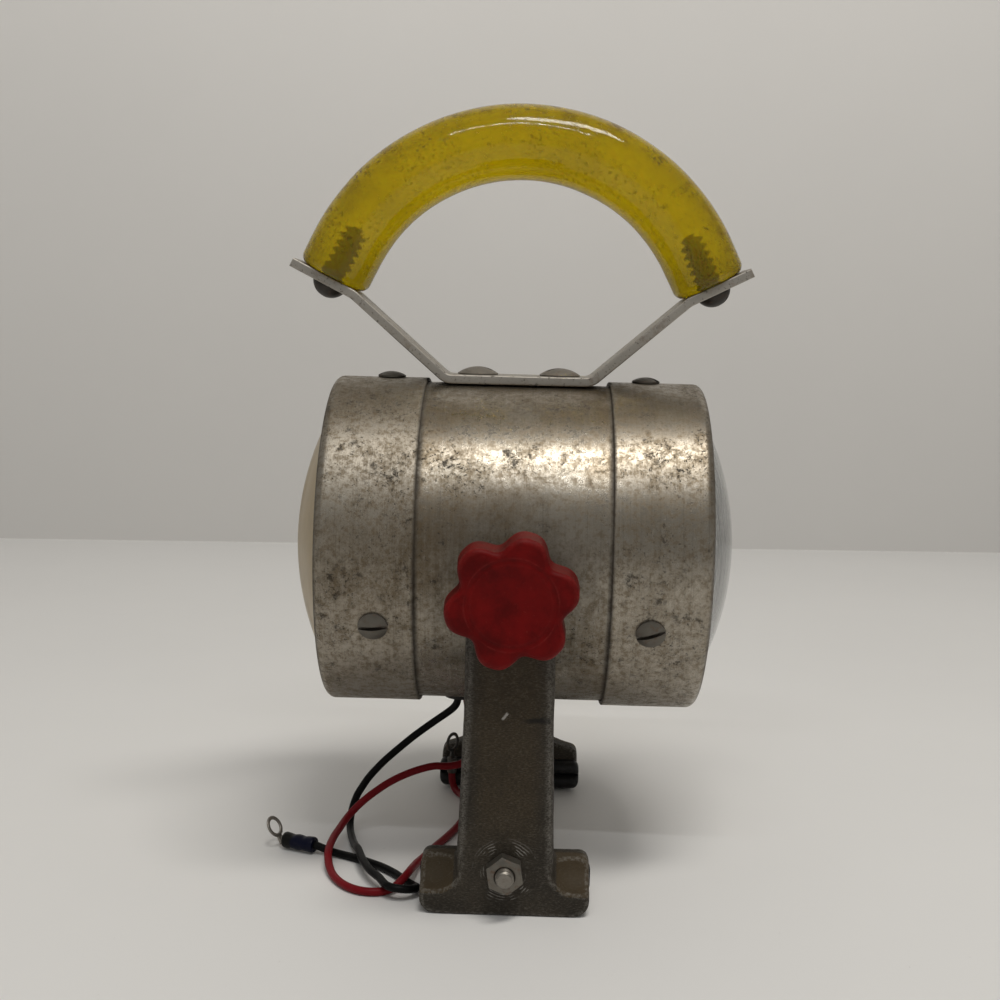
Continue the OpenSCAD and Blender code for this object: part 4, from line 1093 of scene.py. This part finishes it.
def crimped_barrel(radius, length, pinch, ends=0.0, sides=32):
    """A barrel up Z from zero, flattened across Y where it is crimped and flared at its ends."""
    crimps = (0.34, 0.70)
    crimp_width = 0.10
    flared = 0.12
    rounding = 0.02
    rings = []
    for z in steps(0.0, length, 24):
        share = z / length
        both_ends = (share, 1 - share)
        squeeze = pinch * sum(math.exp(-((share - place) / crimp_width) ** 2) for place in crimps)
        flare = ends * max(0.0, flared - min(both_ends)) / flared
        soft = 0.12 * radius * sum(math.exp(-end / rounding) for end in both_ends)
        r = radius * (1 + flare) - soft
        rings.append([(math.cos(a) * r * (1 + squeeze * 0.35), math.sin(a) * r * (1 - squeeze), z)
                      for a in circle(sides)])
    return skin(rings)


class LANTERN_OT_leads(bpy.types.Operator):
    """Lay the two battery leads, from the grommet to their terminals."""

    bl_idname = "lantern.leads"
    bl_label = "Battery leads"

    def execute(self, context):
        look = context.scene.lantern_leads
        radius = look.diameter / 2
        tin = plain_steel("tinned_terminal", (0.30, 0.28, 0.25), 0.40, 0.5)
        dark = plain_steel("dark_terminal", (0.10, 0.095, 0.088), 0.45, 0.5)
        upright = Matrix.Translation(RED_END) @ Matrix.Rotation(RED_TURN, 4, "Z")
        barrel_len = 6.5 * MM
        tongue = ring_tongue(2.65 * MM, 4.0 * MM, 0.8 * MM, 2.4 * MM, 1.5 * MM)
        red_ring = joined(
            moved(crimped_barrel(2.0 * MM, barrel_len, 0.22), upright),
            moved(tongue, upright @ Matrix.Translation((0, 0, barrel_len))))
        red_terminal = fit(build("red_ring_terminal", red_ring, dark), "stand", "red_terminal")
        lying = Matrix.Translation(BLACK_END) @ Matrix.Rotation(BLACK_TURN, 4, "Z")
        sleeve_len = 12.5 * MM
        sleeve_shape = moved(
            crimped_barrel(2.85 * MM, sleeve_len, 0.16, 0.05),
            lying @ quarter("Y") @ quarter("Z"))
        tip = lying @ Matrix.Translation((sleeve_len, 0, 0))
        navy = soft_cover("navy_sleeve", look.sleeve, 0.30, 0.04, shine=0.15, dark_end=tip.translation)
        sleeve = fit(build("crimp_sleeve", sleeve_shape, navy), "stand", "black_sleeve")
        raised = (tip @ Matrix.Translation((1.0 * MM, 0, -1.25 * MM))
                  @ Matrix.Rotation(math.pi / 2 - TONGUE_LIFT, 4, "Y") @ quarter("Z"))
        stub = turned([(0.02 * MM, 0.0), (1.7 * MM, 0.0), (1.6 * MM, 0.9 * MM), (0.02 * MM, 1.0 * MM)], 24)
        black_ring = joined(
            moved(stub, tip @ quarter("Y")),
            moved(tongue, raised))
        black_terminal = fit(build("black_ring_terminal", black_ring, tin), "stand", "black_terminal")
        cords = [
            ("black_battery_lead", BLACK_ROUTE, look.black, "black_cover", "black_lead", 30.0, 6.4,
             [sleeve, black_terminal]),
            ("red_battery_lead", RED_ROUTE, look.red, "red_cover", "red_lead", 26.0, 8.6, [red_terminal]),
        ]
        for name, route, colour, slot, node, top, bottom, ends in cords:
            line = smooth_route(route)
            dusty = tuple(0.05 + c * 0.6 for c in colour)
            cover = soft_cover(name + "_cover", colour, 0.34, 0.10, dusty, 0.10)
            lead = build(name, tube(line, radius), cover)
            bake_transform(lead)
            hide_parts(node)
        return {"FINISHED"}


# Drum

DRUM_SIDES = 224


class LANTERN_OT_shell(bpy.types.Operator):
    """Roll the drum's shell, a little dented."""

    bl_idname = "lantern.shell"
    bl_label = "Drum shell"

    def execute(self, context):
        look = context.scene.lantern_drum
        outside = [drum_ring(x, DRUM_R - 0.02 * MM, DRUM_SIDES, look.dents)
                   for x in steps(-DRUM_HALF, DRUM_HALF, 56)]
        inside = [drum_ring(x, DRUM_R - look.wall, DRUM_SIDES) for x in steps(DRUM_HALF, -DRUM_HALF, 4)]
        # Dark patches: soiling with painted shade round the pivot beside the knob, and a stain on the drum's
        # top.
        smudges_and_shade = [((0.0, -DRUM_R, PIVOT_Z), 42 * MM, 0.45), ((2 * MM, -30.5 * MM, 162 * MM), 8 * MM, 0.55)]
        metal = weathered_metal("drum_metal", look, 0.0, [(CAP_START, 2.2 * MM)], 0.7, smudges_and_shade)
        sheet = build("drum_sheet", skin(outside + inside, wrap=True), metal)
        fit(sheet, "lamp_drum", "drum_shell")
        return {"FINISHED"}


class LANTERN_OT_caps(bpy.types.Operator):
    """Spin the two end caps, with rounded edges and a lip over the lamp."""

    bl_idname = "lantern.caps"
    bl_label = "End caps"

    def section(self, look):
        """Half section of the right cap as (x, radius), all round."""
        lip_back = CAP_END - 1.6 * MM
        inner = CAP_R - look.cap_wall
        edge = 0.25 * MM
        line = [(CAP_START, inner + edge), (CAP_START, CAP_R - edge), (CAP_START + edge, CAP_R)]
        line += [(x, CAP_R) for x in steps(CAP_START + 1.0 * MM, CAP_END - look.cap_round, 16)]
        bend = look.cap_round
        line += arc(CAP_END - bend, CAP_R - bend, bend, math.pi / 2, 0.0, 10)[1:]
        line += [(CAP_END, look.opening + 1.4 * MM), (CAP_END - 0.15 * MM, look.opening + 0.5 * MM),
                 (CAP_END - 0.7 * MM, look.opening), (lip_back, look.opening + 0.1 * MM), (lip_back, inner)]
        line += [(x, inner) for x in steps(lip_back - 1.0 * MM, CAP_START + edge, 4)]
        return line

    def execute(self, context):
        look = context.scene.lantern_drum
        places = [(CAP_START, 1.3 * MM), (CAP_END, 1.6 * MM)]
        for side, name, node, seed, warm, rough in ((-1, "left_end_cap", "left_cap", 3.1, 0.25, 0.34),
                                                    (1, "right_end_cap", "right_cap", 7.7, 0.35, 0.22)):
            rings = [drum_ring(side * x, r, DRUM_SIDES, look.dents, seed) for x, r in self.section(look)]
            metal = weathered_metal(node + "_metal", look, 0.05, places, warm, (), rough)
            fit(build(name, skin(rings, wrap=True), metal), "lamp_drum", node)
        return {"FINISHED"}


class LANTERN_OT_lamps(bpy.types.Operator):
    """Press the two lenses, fluted inside, and silver the bowls behind them."""

    bl_idname = "lantern.lamps"
    bl_label = "Lamps"

    def lens(self, look, side):
        """A domed lens, smooth outside and fluted inside."""
        edge_r = look.opening - 0.7 * MM
        edge_x = CAP_END - 2.6 * MM
        rise = LENS_TIP - edge_x
        ball = (edge_r ** 2 + rise ** 2) / (2 * rise)
        flute_depth = 0.7 * MM
        band_depth = 0.25 * MM
        count = 104
        outer, inner = [], []
        for i in range(count + 1):
            for k in range(count + 1):
                u, v = 2 * i / count - 1, 2 * k / count - 1
                if abs(u) >= abs(v):
                    r, a = abs(u), (math.pi / 4 * v / u if u else 0.0) + (math.pi if u < 0 else 0.0)
                else:
                    r, a = abs(v), math.pi / 2 - math.pi / 4 * u / v + (math.pi if v < 0 else 0.0)
                y, z = math.cos(a) * r * edge_r, math.sin(a) * r * edge_r
                dome = math.sqrt(max(0.0, ball ** 2 - y * y - z * z)) + LENS_TIP - ball
                flute = abs(math.sin(math.pi * y / look.flute)) * flute_depth
                band = band_depth * math.cos(2 * math.pi * z / (4 * look.flute))
                fade = 1 - r ** 8
                outer.append((side * dome, y, DRUM_Z + z))
                inner.append((side * (dome - look.lens_glass + (flute + band) * fade), y, DRUM_Z + z))
        wide = count + 1
        faces = []
        for i in range(count):
            for k in range(count):
                a = i * wide + k
                faces.append((a, a + 1, a + wide + 1, a + wide))
        total = wide * wide
        faces += [tuple(total + n for n in face) for face in faces]
        border = list(range(wide))
        border += [i * wide + count for i in range(1, wide)]
        border += [count * wide + k for k in range(count - 1, -1, -1)]
        border += [i * wide for i in range(count - 1, 0, -1)]
        for a, b in zip(border, border[1:] + border[:1]):
            faces.append((a, b, b + total, a + total))
        return outer + inner, faces

    def execute(self, context):
        look = context.scene.lantern_drum
        beige = pressed_glass("beige_glass", look.left_glass, 0.45, 0.30)
        clear = pressed_glass("clear_glass", look.right_glass, 0.9, 0.06)
        for side, name, node, slot, glass in ((-1, "left_dome", "left_lens", "amber_glass", beige),
                                              (1, "right_dome", "right_lens", "clear_glass", clear)):
            fit(build(name, self.lens(look, side), glass, 60.0), "lamp_drum", node)
        dress(silvered("silvered_bowl"), "left_reflector", "right_reflector")
        return {"FINISHED"}


# Handle

BEND_LOW = Vector((26.0, 0.0))
BEND_HIGH = Vector((59.5, 29.0))
TAB_ANGLE = math.radians(26.5)
TAB_LENGTH = 24.4
GRIP_SEAT = 10.3
GRIP_LEG = 11.3
SCREW_DEPTH = 20.0
STRAP_HALF = 1.6


def tab_frame(side):
    """Puts Z square to a tab, with its upper face at zero and the grip's end over it."""
    along = Vector((math.cos(TAB_ANGLE), math.sin(TAB_ANGLE)))
    across = Vector((-along.y, along.x))
    spot = BEND_HIGH + GRIP_SEAT * along + STRAP_HALF * across
    place = Vector((side * spot.x * MM, 0.0, STRAP_LOW + (STRAP_HALF + spot.y) * MM))
    way = Vector((-side * math.sin(TAB_ANGLE), 0.0, math.cos(TAB_ANGLE)))
    return place, way


def grip_bend():
    """Radius of the grip's bend and the height of its centre."""
    place, way = tab_frame(1)
    bend_end = place + GRIP_LEG * MM * way
    bend_r = bend_end.x / math.cos(TAB_ANGLE)
    return bend_r, bend_end.z - bend_r * math.sin(TAB_ANGLE)


class LANTERN_OT_strap(bpy.types.Operator):
    """Bend the flat strap that carries the grip."""

    bl_idname = "lantern.strap"
    bl_label = "Handle strap"

    def execute(self, context):
        look = context.scene.lantern_handle
        tip = BEND_HIGH + TAB_LENGTH * Vector((math.cos(TAB_ANGLE), math.sin(TAB_ANGLE)))
        half = [BEND_LOW, BEND_HIGH, tip]
        flat = [(-p.x, p.y) for p in reversed(half)] + [(p.x, p.y) for p in half]
        middle_z = STRAP_LOW + look.strap_thickness / 2
        mesh = bpy.data.meshes.new("bent_strap")
        mesh.from_pydata([(x * MM, 0.0, middle_z + z * MM) for x, z in flat],
                         [(i, i + 1) for i in range(len(flat) - 1)], [])
        obj = new_object("bent_strap", mesh)
        metal = pitted_strap("strap_metal", look)
        run_tree(obj, bar_tree(), {
            "Width": look.strap_width, "Thickness": look.strap_thickness, "Edge": 0.55 * MM,
            "Bend": look.strap_bend, "Finish": metal})
        tidy_mesh(obj.data)
        fit(obj, "lamp_drum", "handle_strap")
        return {"FINISHED"}


class LANTERN_OT_grip(bpy.types.Operator):
    """Mould the amber grip: one bend between two straight ends."""

    bl_idname = "lantern.grip"
    bl_label = "Handle grip"

    def execute(self, context):
        look = context.scene.lantern_handle
        place, way = tab_frame(1)
        leg = GRIP_LEG * MM
        bend_r, bend_z = grip_bend()
        line = [(place + way * d, way) for d in steps(0.0, leg, 30)]
        for a in steps(TAB_ANGLE, math.pi - TAB_ANGLE, 120)[1:-1]:
            spot = Vector((math.cos(a) * bend_r, 0.0, bend_z + math.sin(a) * bend_r))
            line.append((spot, Vector((-math.sin(a), 0.0, math.cos(a)))))
        left_place, left_way = tab_frame(-1)
        line += [(left_place + left_way * d, -left_way) for d in steps(leg, 0.0, 30)]
        rings = []
        edge = look.grip_edge
        for spot, ahead in line:
            from_end = min((spot - line[0][0]).length, (spot - line[-1][0]).length)
            short = max(0.0, edge - from_end)
            radius = look.grip_radius - edge + math.sqrt(edge ** 2 - short ** 2)
            out = Vector((0.0, 1.0, 0.0)).cross(ahead)
            ring = []
            for a in circle(72):
                unit = math.cos(a) * out + math.sin(a) * Vector((0.0, 1.0, 0.0))
                point = spot + radius * unit
                ring.append(point + unit * (wobble(point, 45.0, 0.14 * MM) + wobble(point, 160.0, 0.05 * MM)))
            rings.append(ring)
        amber = amber_plastic("amber_grip", look)
        fit(build("moulded_grip", skin(rings), amber), "lamp_drum", "handle_grip")
        return {"FINISHED"}


class LANTERN_OT_screws(bpy.types.Operator):
    """Set the slotted screws of the caps, the strap and the grip."""

    bl_idname = "lantern.screws"
    bl_label = "Slotted screws"

    def set_screws(self, name, node, places, head, cut, shank, finish):
        """Sets like screws: head holds radius, height and straight edge, cut the slot's width and depth."""
        radius, height, edge = (value * MM for value in head)
        width, depth = (value * MM for value in cut)
        template = slotted_template(
            name + "_template", crowned_head(radius, height, edge), width, depth, height, downwards(shank))
        material, slot = finish
        fit(fastener_set(name + "_set", template, places, material), "lamp_drum", node)

    def execute(self, context):
        pitch = context.scene.lantern_stand.thread
        strap = 2 * STRAP_HALF * MM
        dark = plain_steel("dark_screw", (0.15, 0.138, 0.118), 0.40, 0.5), "dark_steel"
        grey = plain_steel("grey_bolt", (0.23, 0.21, 0.18), 0.42, 0.45), "steel"
        black = plain_steel("black_screw", (0.055, 0.05, 0.045), 0.40, 0.35), "dark_steel"
        screw_x = 46.0 * MM
        bolt_x = 14.8 * MM
        lower = math.radians(111)
        slots = {-1: (20, 4, 60), 1: (-35, 18, 10)}
        for side, node in ((-1, "left_cap_screws"), (1, "right_cap_screws")):
            places = []
            for turn, slot in zip((0.0, lower, -lower), slots[side]):
                way = (0.0, -math.sin(turn), math.cos(turn))
                place = (side * screw_x, way[1] * CAP_R, DRUM_Z + way[2] * CAP_R)
                places.append((place, way, math.radians(slot)))
            shank = threaded_bar(2.3 * MM, 8.8 * MM, pitch, 0.25 * MM)
            self.set_screws(node, node, places, (5.0, 2.1, 0.7), (1.4, 1.7), shank, dark)
        places = [((side * bolt_x, 0.0, STRAP_LOW + strap), (0, 0, 1), math.radians(turn))
                  for side, turn in ((-1, -15), (1, 25))]
        shank = threaded_bar(3.05 * MM, 13.6 * MM, pitch, 0.3 * MM)
        self.set_screws("strap_bolt", "strap_bolts", places, (7.3, 2.9, 0.5), (1.5, 1.2), shank, grey)
        places = []
        for side in (-1, 1):
            place, way = tab_frame(side)
            places.append((place - way * strap, -way, math.radians(30 * side)))
        shank = threaded_bar(3.9 * MM, (SCREW_DEPTH + 3.0) * MM, 2.9 * MM, 1.7 * MM, 0.12)
        self.set_screws("grip_screw", "grip_screws", places, (6.0, 4.3, 0.4), (1.5, 1.8), shank, black)
        return {"FINISHED"}


# Stand


class LANTERN_OT_arms(bpy.types.Operator):
    """Cast the two arms: softened edges, a sandy skin and marks for wear."""

    bl_idname = "lantern.arms"
    bl_label = "Cast arms"

    def execute(self, context):
        look = context.scene.lantern_stand
        metal = cast_metal("cast_arm", look)
        for node, name in (("front_arm", "front_casting"), ("rear_arm", "rear_casting")):
            obj = new_object(name, tidy_mesh(NODES[node].data.copy()), metal)
            remesh = obj.modifiers.new("grain", "REMESH")
            remesh.mode = "VOXEL"
            remesh.voxel_size = look.grain
            baked(obj)
            reshape(obj.data, lambda work: self.soften(work, look.soften))
            mark_edges(obj.data)
            self.mark_hollows(obj.data)
            reshape(obj.data, self.roughen)
            obj.data.shade_smooth()
            fit(obj, "stand", node)
        return {"FINISHED"}

    def soften(self, work, rounds):
        """Rounds the edges off."""
        for _ in range(rounds):
            bmesh.ops.smooth_vert(
                work, verts=work.verts, factor=0.5, use_axis_x=True, use_axis_y=True, use_axis_z=True)

    def roughen(self, work):
        """Gives the casting its sandy skin, less so on the soles, which stay on the table."""
        work.normal_update()
        for vert in work.verts:
            lift = wobble(vert.co, 60.0, 0.16 * MM) + wobble(vert.co, 420.0, 0.07 * MM)
            vert.co += vert.normal * lift * (0.15 if vert.co.z < 0.4 * MM else 1.0)
            vert.co.z = max(0.0, vert.co.z)

    def mark_hollows(self, mesh):
        """Marks the scooped tops of the feet, where rust gathers."""
        marks = []
        for vert in mesh.vertices:
            x, y, z = vert.co
            in_scoop = abs(x) > SCOOP_X and abs(y) > SCOOP_Y and z > SCOOP_Z
            marks.append(1.0 if in_scoop and vert.normal.z > 0.15 else 0.0)
        mesh.attributes.new("hollow", "FLOAT", "POINT").data.foreach_set("value", marks)


class LANTERN_OT_pads(bpy.types.Operator):
    """Mould the two ribbed rubber pads of the feet."""

    bl_idname = "lantern.pads"
    bl_label = "Jaw pads"

    def section(self, height, depth):
        """Outline of a pad as (depth from the foot, height), with two round ribs."""
        rib = height / 4
        line = [(0.0, 0.0)]
        for middle_z in (rib, 3 * rib):
            line += arc(depth - rib, middle_z, rib, -math.pi / 2, math.pi / 2, 16)
        line.append((0.0, height))
        return [(max(0.0, d), z) for d, z in line]

    def execute(self, context):
        look = context.scene.lantern_stand
        rubber = soft_cover("pad_rubber", look.rubber, 0.26, 0.25, (0.10, 0.095, 0.09))
        for side, node, name in ((-1, "front_jaw_pad", "front_pad"), (1, "rear_jaw_pad", "rear_pad")):
            half = high(node, X)
            base = low(node, Z)
            height = high(node, Z) - base
            depth = high(node, Y) - low(node, Y)
            outline = self.section(height, depth)
            bulge = 2.6 * MM
            right_end = [half - step * MM for step in (1.6, 0.9, 0.4, 0.1, 0.0)]
            left_end = [-x for x in reversed(right_end)]
            rings = []
            for x in left_end + steps(-half + bulge, half - bulge, 28) + right_end:
                near = max(0.0, abs(x) - (half - bulge)) / bulge
                share = 0.45 + 0.55 * math.sqrt(max(0.0, 1 - near * near))
                ring = []
                for d, z in outline:
                    lift = base + height / 2 + (z - height / 2) * share
                    ring.append((x, side * (FOOT_IN - d * share + wobble((x, d, z), 150.0, 0.12 * MM)), lift))
                rings.append(ring)
            fit(build(name, skin(rings), rubber, 50.0), "stand", node)
        return {"FINISHED"}


class LANTERN_OT_tie(bpy.types.Operator):
    """Turn the tie bolt with its head and nut."""

    bl_idname = "lantern.tie"
    bl_label = "Tie bolt"

    def execute(self, context):
        look = context.scene.lantern_stand
        grey = plain_steel("grey_rod", (0.26, 0.24, 0.21), 0.36, 0.4)
        dull = plain_steel("dull_nut", (0.19, 0.175, 0.15), 0.40, 0.6)
        front = low("tie_bolt", Y)
        back = high("rear_arm", Y)
        thread_len = 26.0 * MM
        tip = along_axis((0, front + thread_len, TIE_Z), (0, -1, 0))
        thread = moved(threaded_bar(look.bolt_radius, thread_len, look.thread, 0.32 * MM), tip)
        plain = moved(threaded_bar(look.bolt_radius - 0.02 * MM, back - front - thread_len, 4 * MM),
                      along_axis((0, front + thread_len, TIE_Z), (0, 1, 0)))
        head = moved(hex_piece(look.nut_flats, high("tie_bolt", Y) - back, lower=False),
                     along_axis((0, back, TIE_Z), (0, 1, 0), math.radians(12)))
        fit(build("tie_rod", joined(thread, plain, head), grey, 28.0), "stand", "tie_bolt")
        seat = high("tie_bolt_nut", Y)
        nut = moved(hex_piece(look.nut_flats, seat - low("tie_bolt_nut", Y), look.bolt_radius),
                    along_axis((0, seat, TIE_Z), (0, -1, 0), math.radians(9)))
        fit(build("tie_nut", nut, dull, 28.0), "stand", "tie_bolt_nut")
        return {"FINISHED"}


class LANTERN_OT_pivots(bpy.types.Operator):
    """Finish the pivots: bosses, washers, studs and the rear bolt's head."""

    bl_idname = "lantern.pivots"
    bl_label = "Pivots"

    def execute(self, context):
        drum = context.scene.lantern_drum
        boss = weathered_metal("boss_metal", drum, 0.0, (), 0.6)
        steel = plain_steel("pivot_steel", (0.46, 0.44, 0.40), 0.34, 0.35)
        fibre = soft_cover("fibre_washer", (0.11, 0.065, 0.040), 0.62, 0.3)
        dress(boss, "front_boss", "rear_boss", "front_backing", "rear_backing")
        dress(fibre, "front_friction_washer", "rear_friction_washer")
        dress(steel, "clamp_stud", "clamp_washer", "rear_pivot_washer", "rear_pivot_nut", "strap_nuts")
        seat = high("rear_pivot_washer", Y)
        head = moved(hex_piece(12.7 * MM, high("rear_pivot_bolt", Y) - seat, lower=False),
                     along_axis((0, seat, PIVOT_Z), (0, 1, 0), math.radians(20)))
        shank = moved(threaded_bar(3.93 * MM, seat - low("rear_pivot_bolt", Y), 1.41 * MM, 0.4 * MM),
                      along_axis((0, seat, PIVOT_Z), (0, -1, 0)))
        fit(build("rear_bolt", joined(head, shank), steel, 28.0), "lamp_drum", "rear_pivot_bolt")
        return {"FINISHED"}


class LANTERN_OT_inside(bpy.types.Operator):
    """Finish what lies inside the drum: seals, filaments, terminals and leads."""

    bl_idname = "lantern.inside"
    bl_label = "Inner pieces"

    def execute(self, context):
        leads = context.scene.lantern_leads
        rubber = soft_cover("seal_rubber", (0.015, 0.014, 0.013), 0.5, 0.3)
        brass = plain_steel("terminal_brass", (0.52, 0.40, 0.17), 0.32, 0.2)
        wire = plain_steel("filament_wire", (0.42, 0.42, 0.44), 0.3, 0.1)
        dress(rubber, "left_seal", "right_seal", "lead_grommet")
        dress(brass, "left_lamp_terminals", "right_lamp_terminals", "lamp_jumpers", "knob_insert")
        dress(wire, "left_filament", "right_filament")
        dress(soft_cover("inner_black", leads.black), "black_inner_lead")
        dress(soft_cover("inner_red", leads.red), "red_inner_lead")
        return {"FINISHED"}


class LANTERN_OT_knob(bpy.types.Operator):
    """Mould the lobed hand knob, dished in front with a bare ring."""

    bl_idname = "lantern.knob"
    bl_label = "Hand knob"

    def execute(self, context):
        look = context.scene.lantern_knob
        front = low("knob", Y)
        back = high("knob", Y)
        rim_back = back - 3.0 * MM
        hub_r = 10.5 * MM
        sides = 240
        edge = 1.9 * MM
        back_edge = 1.4 * MM

        def lobed(a):
            hollow = (1 - math.cos(look.lobes * (a - look.turn))) / 2
            return look.radius + look.lobe * (1 - 2 * hollow ** look.swell)

        def ring(y, radius_at):
            points = []
            for a in circle(sides):
                r = radius_at(a)
                spot = Vector((math.cos(a) * r, y, PIVOT_Z + math.sin(a) * r))
                spot.y += wobble(spot, 130.0, 0.10 * MM)
                points.append(spot)
            return points

        tiny = 0.05 * MM
        rings = [ring(back, lambda a: tiny), ring(back, lambda a: hub_r - 0.4 * MM),
                 ring(back - 0.4 * MM, lambda a: hub_r), ring(rim_back + 0.3 * MM, lambda a: hub_r)]
        rings += [ring(rim_back, lambda a, s=s: hub_r + (lobed(a) - back_edge - hub_r) * s)
                  for s in steps(0.06, 1.0, 4)]
        for i in range(1, 6):
            turn = math.pi / 2 * i / 5
            rings.append(ring(rim_back - back_edge * (1 - math.cos(turn)),
                              lambda a, t=turn: lobed(a) - back_edge * (1 - math.sin(t))))
        draft = 0.5 * MM
        sides_from, sides_to = rim_back - back_edge, front + edge
        rings += [ring(sides_from + (sides_to - sides_from) * s, lambda a, s=s: lobed(a) - draft * s)
                  for s in steps(0.1, 1.0, 9)]
        for i in range(1, 9):
            turn = math.pi / 2 * i / 8
            rings.append(ring(front + edge * (1 - math.sin(turn)),
                              lambda a, t=turn: lobed(a) - draft - edge * (1 - math.cos(t))))
        face_r = 14.7 * MM
        rings += [ring(front, lambda a, s=s: (lobed(a) - draft - edge) * (1 - s) + face_r * s)
                  for s in steps(0.3, 1.0, 3)]
        dish = [(14.4, 0.06), (14.0, 0.20), (13.6, 0.27), (13.2, 0.24), (12.9, 0.19), (12.5, 0.18),
                (11.5, 0.26), (9.5, 0.45), (7.0, 0.65), (4.0, 0.82), (1.5, 0.90), (0.05, 0.91)]
        rings += [ring(front + depth * MM, lambda a, r=r: r * MM) for r, depth in dish]
        red = red_plastic("red_knob", look)
        obj = build("lobed_knob", skin(rings), red, 40.0)
        mark_edges(obj.data)
        fit(obj, "hand_knob", "knob")
        return {"FINISHED"}


class LANTERN_PT_panel(bpy.types.Panel):
    """Lists the lantern's settings and the steps that build it."""

    bl_label = "Railroad lantern"
    bl_idname = "LANTERN_PT_panel"
    bl_space_type = "VIEW_3D"
    bl_region_type = "UI"
    bl_category = "Lantern"

    def draw(self, context):
        for step in STEPS:
            self.layout.operator(step.bl_idname)
        for name, group in SETTINGS.items():
            box = self.layout.box()
            box.label(text=group.__doc__.rstrip("."))
            for key in group.__annotations__:
                box.prop(getattr(context.scene, name), key)


SETTINGS = {
    "lantern_stage": LanternStage, "lantern_leads": LanternLeads, "lantern_drum": LanternDrum,
    "lantern_handle": LanternHandle, "lantern_stand": LanternStand, "lantern_knob": LanternKnob,
}
STEPS = (
    LANTERN_OT_stage, LANTERN_OT_leads, LANTERN_OT_shell, LANTERN_OT_caps, LANTERN_OT_lamps,
    LANTERN_OT_strap, LANTERN_OT_grip, LANTERN_OT_screws, LANTERN_OT_arms, LANTERN_OT_pads,
    LANTERN_OT_tie, LANTERN_OT_pivots, LANTERN_OT_inside, LANTERN_OT_knob,
)


def register():
    for group in SETTINGS.values():
        bpy.utils.register_class(group)
    for step in STEPS:
        bpy.utils.register_class(step)
    bpy.utils.register_class(LANTERN_PT_panel)
    for name, group in SETTINGS.items():
        setattr(bpy.types.Scene, name, bpy.props.PointerProperty(type=group))


def unregister():
    for name in SETTINGS:
        delattr(bpy.types.Scene, name)
    bpy.utils.unregister_class(LANTERN_PT_panel)
    for step in reversed(STEPS):
        bpy.utils.unregister_class(step)
    for group in reversed(list(SETTINGS.values())):
        bpy.utils.unregister_class(group)


def main():
    register()
    for step in STEPS:
        family, name = step.bl_idname.split(".")
        getattr(getattr(bpy.ops, family), name)()


if __name__ == "__main__":
    main()
